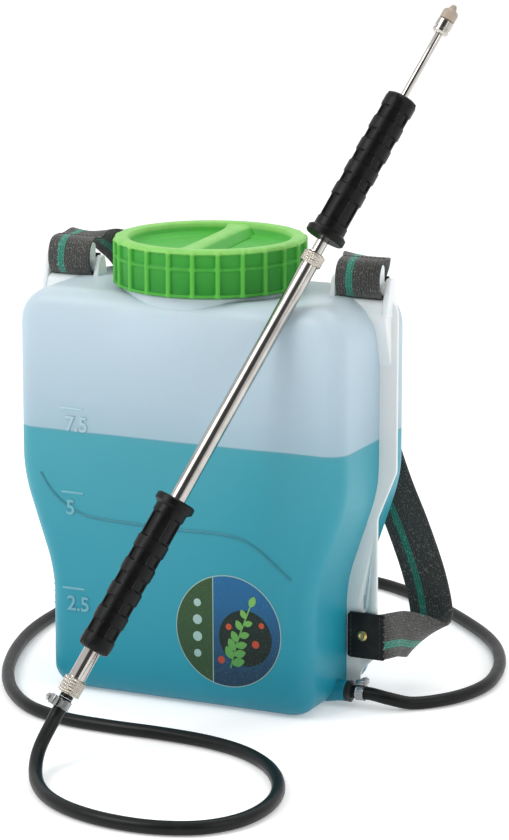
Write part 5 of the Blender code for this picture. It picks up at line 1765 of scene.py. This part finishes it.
# ---------------------------------------------------------------- the lance
@dataclass
class Lance:
    """Slide-pump lance: barrel, two banded grips, knurled nuts, wand and nozzle.

    Lengths run along its own line from its foot.
    """

    barrel_radius: float = 6.7 * MM
    barrel_low: float = 10.0 * MM
    barrel_high: float = 381.0 * MM
    plunger_radius: float = 4.6 * MM
    plunger_low: float = 66.0 * MM
    plunger_high: float = 519.5 * MM
    wand_radius: float = 2.9 * MM
    wand_high: float = 591.3 * MM
    upper_grip_length: float = 127.0 * MM
    lower_grip_length: float = 132.0 * MM
    lower_grip: float = 38.0 * MM
    upper_grip: float = 401.5 * MM
    band_radius: float = 12.9 * MM
    core_radius: float = 11.2 * MM
    flange_radius: float = 16.0 * MM
    nut_radius: float = 9.0 * MM
    nut_high: float = 14.0 * MM
    gland_radius: float = 8.9 * MM
    gland_low: float = 378.6 * MM
    gland_high: float = 389.0 * MM

    def add(
        self,
        name: str,
        mould: Mould,
        finish: Kind,
        body: str,
        nodes: Sequence[str],
        slot: str,
    ) -> None:
        """Turn a mould into a lance piece that replaces CAD nodes."""
        item = mould.piece(name, finish.value.make(), body)
        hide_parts(*nodes)
        LOG.info(name)

    def pipe(self, radius: float, bore: float, low: float, high: float) -> Mould:
        """Return a tube with rounded ends between two heights."""
        profile = rounded([(bore, low), (radius, low), (radius, high), (bore, high)], 0.4 * MM, 3)
        return turned(profile, 72, lance_place(), closed=True)

    def grip(self, low: float, flange_low: bool) -> Mould:
        """Return a banded grip.

        Args:
            low: Where it starts.
            flange_low: Whether its wide flange is at its lower end.
        """
        length = self.upper_grip_length if flange_low else self.lower_grip_length
        bore = (self.plunger_radius if flange_low else self.barrel_radius) + 0.1 * MM
        core, band, flange = self.core_radius, self.band_radius, self.flange_radius
        outer = [
            (bore, 0.0),
            (core - 1.6 * MM, 0.0),
            (band - 1.0 * MM, 1.4 * MM),
            (band, 4.0 * MM),
            (band, 12.0 * MM),
            (core, 13.2 * MM),
        ]
        pitch = (length - 28.0 * MM) / 5.0
        for index in range(1, 5):
            middle = 8.0 * MM + pitch * index
            outer += [
                (core, middle - 6.0 * MM),
                (band, middle - 4.6 * MM),
                (band + 0.1 * MM, middle + 4.6 * MM),
                (core, middle + 6.0 * MM),
            ]
        neck = length - 10.5 * MM
        outer += [
            (core, neck - 5.0 * MM),
            (band, neck - 3.8 * MM),
            (band, neck + 2.4 * MM),
            (flange - 1.0 * MM, neck + 4.0 * MM),
            (flange, neck + 4.8 * MM),
            (flange, length - 1.2 * MM),
            (flange - 1.2 * MM, length),
            (bore, length),
        ]
        profile = []
        for first, second in zip(outer, outer[1:]):
            parts = max(1, round((Vector(second) - Vector(first)).length / (2.5 * MM)))
            wider, further = second[0] - first[0], second[1] - first[1]
            profile.extend(
                (first[0] + wider * k / parts, first[1] + further * k / parts) for k in range(parts)
            )
        profile.append(outer[-1])
        if flange_low:
            profile = [(radius, length - height) for radius, height in reversed(profile)]

        def ribbed(radius: float, turn: float, height: float) -> float:
            """Raise eight lengthwise ribs between the bands."""
            if radius < core - 0.5 * MM or radius > core + 0.9 * MM:
                return radius
            pitch_turn = math.tau / 8.0
            away = abs((turn / pitch_turn + 0.5) % 1.0 - 0.5) * pitch_turn * core
            share = min(1.0, max(0.0, (1.5 * MM - away) / (0.8 * MM)))
            return max(radius, core + (band - core - 0.25 * MM) * share)

        place = lance_place() @ Matrix.Translation((0.0, 0.0, low))
        return turned(profile, 96, place, closed=True, shape=ribbed)

    def knurled(self, radius: float, bore: float, low: float, high: float, neck: float) -> Mould:
        """Return a nut with a diamond knurl between two chamfered collars."""
        pitch = 1.85 * MM
        waves = round(math.tau * radius / pitch)
        rows = round((high - low - 2.3 * MM) / (0.39 * MM))
        start, end = low + 0.9 * MM, high - 1.4 * MM
        profile = [
            (bore, low),
            (radius - 1.1 * MM, low),
            (radius - 0.6 * MM, low + 0.7 * MM),
        ]
        profile += [(radius, start + (end - start) * k / rows) for k in range(rows + 1)]
        profile += [
            (radius - 0.6 * MM, high - 1.2 * MM),
            (radius - 1.2 * MM, high - 0.6 * MM),
            (neck, high - 0.5 * MM),
            (neck, high),
            (bore, high),
        ]

        def diamond(size: float, turn: float, height: float) -> float:
            """Press the knurl into the nut's middle."""
            if size < radius or not start <= height <= end:
                return size
            lead = math.tau * (height - start) / pitch
            around = turn * waves
            press = abs(math.sin((around + lead) / 2.0)) * abs(math.sin((around - lead) / 2.0))
            return size - 0.75 * MM * (1.0 - press)

        return turned(profile, waves * 4, lance_place(), closed=True, shape=diamond)

    def nozzle(self) -> None:
        """Make the nozzle's nut and its tapered tip."""
        nut = [
            (2.95, 586.3), (5.0, 586.3), (5.8, 587.2), (6.5, 588.0), (6.5, 589.6), (5.9, 590.0),
            (5.9, 590.8), (6.5, 591.2), (6.5, 597.3), (5.7, 598.2), (2.95, 598.2),
        ]
        mould = turned([(r * MM, h * MM) for r, h in nut], 60, lance_place(), closed=True)
        self.add("nozzle_cap_nut", mould, Kind.CHROME, "nozzle", ["nozzle_nut"], "chrome")
        tip = [
            (0.9, 598.5), (5.9, 598.5), (6.3, 599.0), (6.3, 602.6), (6.3, 604.6), (5.9, 606.0),
            (4.8, 607.0), (3.4, 607.8), (2.6, 609.8), (2.0, 611.2), (1.5, 611.8), (0.9, 611.8),
        ]

        def fluted(radius: float, turn: float, height: float) -> float:
            """Press shallow grip flutes into the tip's base."""
            low = 598.8 * MM <= height <= 602.7 * MM and radius > 6.2 * MM
            return radius - 0.25 * MM * (0.5 + 0.5 * math.cos(turn * 18.0)) if low else radius

        mould = turned([(r * MM, h * MM) for r, h in tip], 108, lance_place(), closed=True, shape=fluted)
        self.add("nozzle_cone", mould, Kind.NOZZLE, "nozzle", ["nozzle_tip"], "white_plastic")

    def build(self) -> None:
        """Make every lance piece, and give the nodes that keep their CAD shape a finish."""
        barrel = self.pipe(self.barrel_radius, 5.9 * MM, self.barrel_low, self.barrel_high)
        self.add("pump_barrel", barrel, Kind.CHROME, "lance", ["barrel_tube"], "chrome")
        plunger = self.pipe(self.plunger_radius, 3.4 * MM, self.plunger_low, self.plunger_high)
        self.add("pump_rod", plunger, Kind.CHROME, "plunger", ["plunger_tube"], "chrome")
        wand = self.pipe(self.wand_radius, 1.9 * MM, self.plunger_high + 0.6 * MM, self.wand_high)
        self.add("spray_wand", wand, Kind.CHROME, "plunger", ["wand_tube"], "chrome")
        lower = self.grip(self.lower_grip, False)
        self.add("barrel_grip", lower, Kind.GRIP, "lance", ["lower_grip"], "grip_black")
        upper = self.grip(self.upper_grip, True)
        self.add("slide_grip", upper, Kind.GRIP, "plunger", ["upper_grip"], "grip_black")
        union = self.knurled(self.nut_radius, 6.0 * MM, 0.0, self.nut_high, 7.4 * MM)
        self.add("union_nut_knurled", union, Kind.NICKEL, "lance", ["union_nut"], "nickel")
        gland = self.knurled(self.gland_radius, 4.75 * MM, self.gland_low, self.gland_high, 6.6 * MM)
        self.add("gland_nut_knurled", gland, Kind.NICKEL, "lance", ["gland_nut"], "nickel")
        self.nozzle()
        dress(Kind.HOSE.value.make(), "hose_tail")
        dress(Kind.NICKEL.value.make(), "gland_bush", "inlet_seat", "spring_keeper", "inlet_spring")
        dress(Kind.STEEL.value.make(), "inlet_ball", "discharge_ball", "outlet_backnut")
        dress(Kind.SEAL.value.make(), "gland_seal", "tail_washer", "piston_cup", "outlet_seal")
        dress(Kind.BRASS.value.make(), "piston")
        dress(Kind.FITTING.value.make(), "outlet_fitting")
        dress(Kind.WHITE.value.make(), "outlet_filter")


def housing_turn(place: Matrix, node: str) -> float:
    """Return where a clamp's screw sits about its axis, from the CAD node's box."""
    low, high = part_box(node)
    local = place.inverted() @ ((low + high) / 2.0)
    return math.atan2(local.y, local.x)


def build_clamps() -> None:
    """Make the two hose clamps."""
    upright = Matrix.Rotation(math.radians(90.0), 4, "Y")
    outlet = Matrix.Translation(OUTLET_CLAMP) @ upright
    tail = lance_place() @ Matrix.Translation((0.0, 0.0, LANCE_CLAMP_ALONG))
    for name, place, body in (("outlet_clamp", outlet, "tank"), ("lance_clamp", tail, "lance")):
        nodes = (name + "_band", name + "_screw")
        WormClamp(name, place, housing_turn(place, nodes[1]), body, nodes).build()


def main() -> None:
    """Build the scene."""
    logging.basicConfig(level=logging.INFO, format="%(message)s")
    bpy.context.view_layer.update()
    Studio().build()
    Hose().build()
    tank = Tank()
    tank.build()
    Label(tank).build()
    Lid().build()
    for sign in (-1.0, 1.0):
        Strap(sign).build()
    Lance().build()
    build_clamps()


if __name__ == "__main__":
    main()
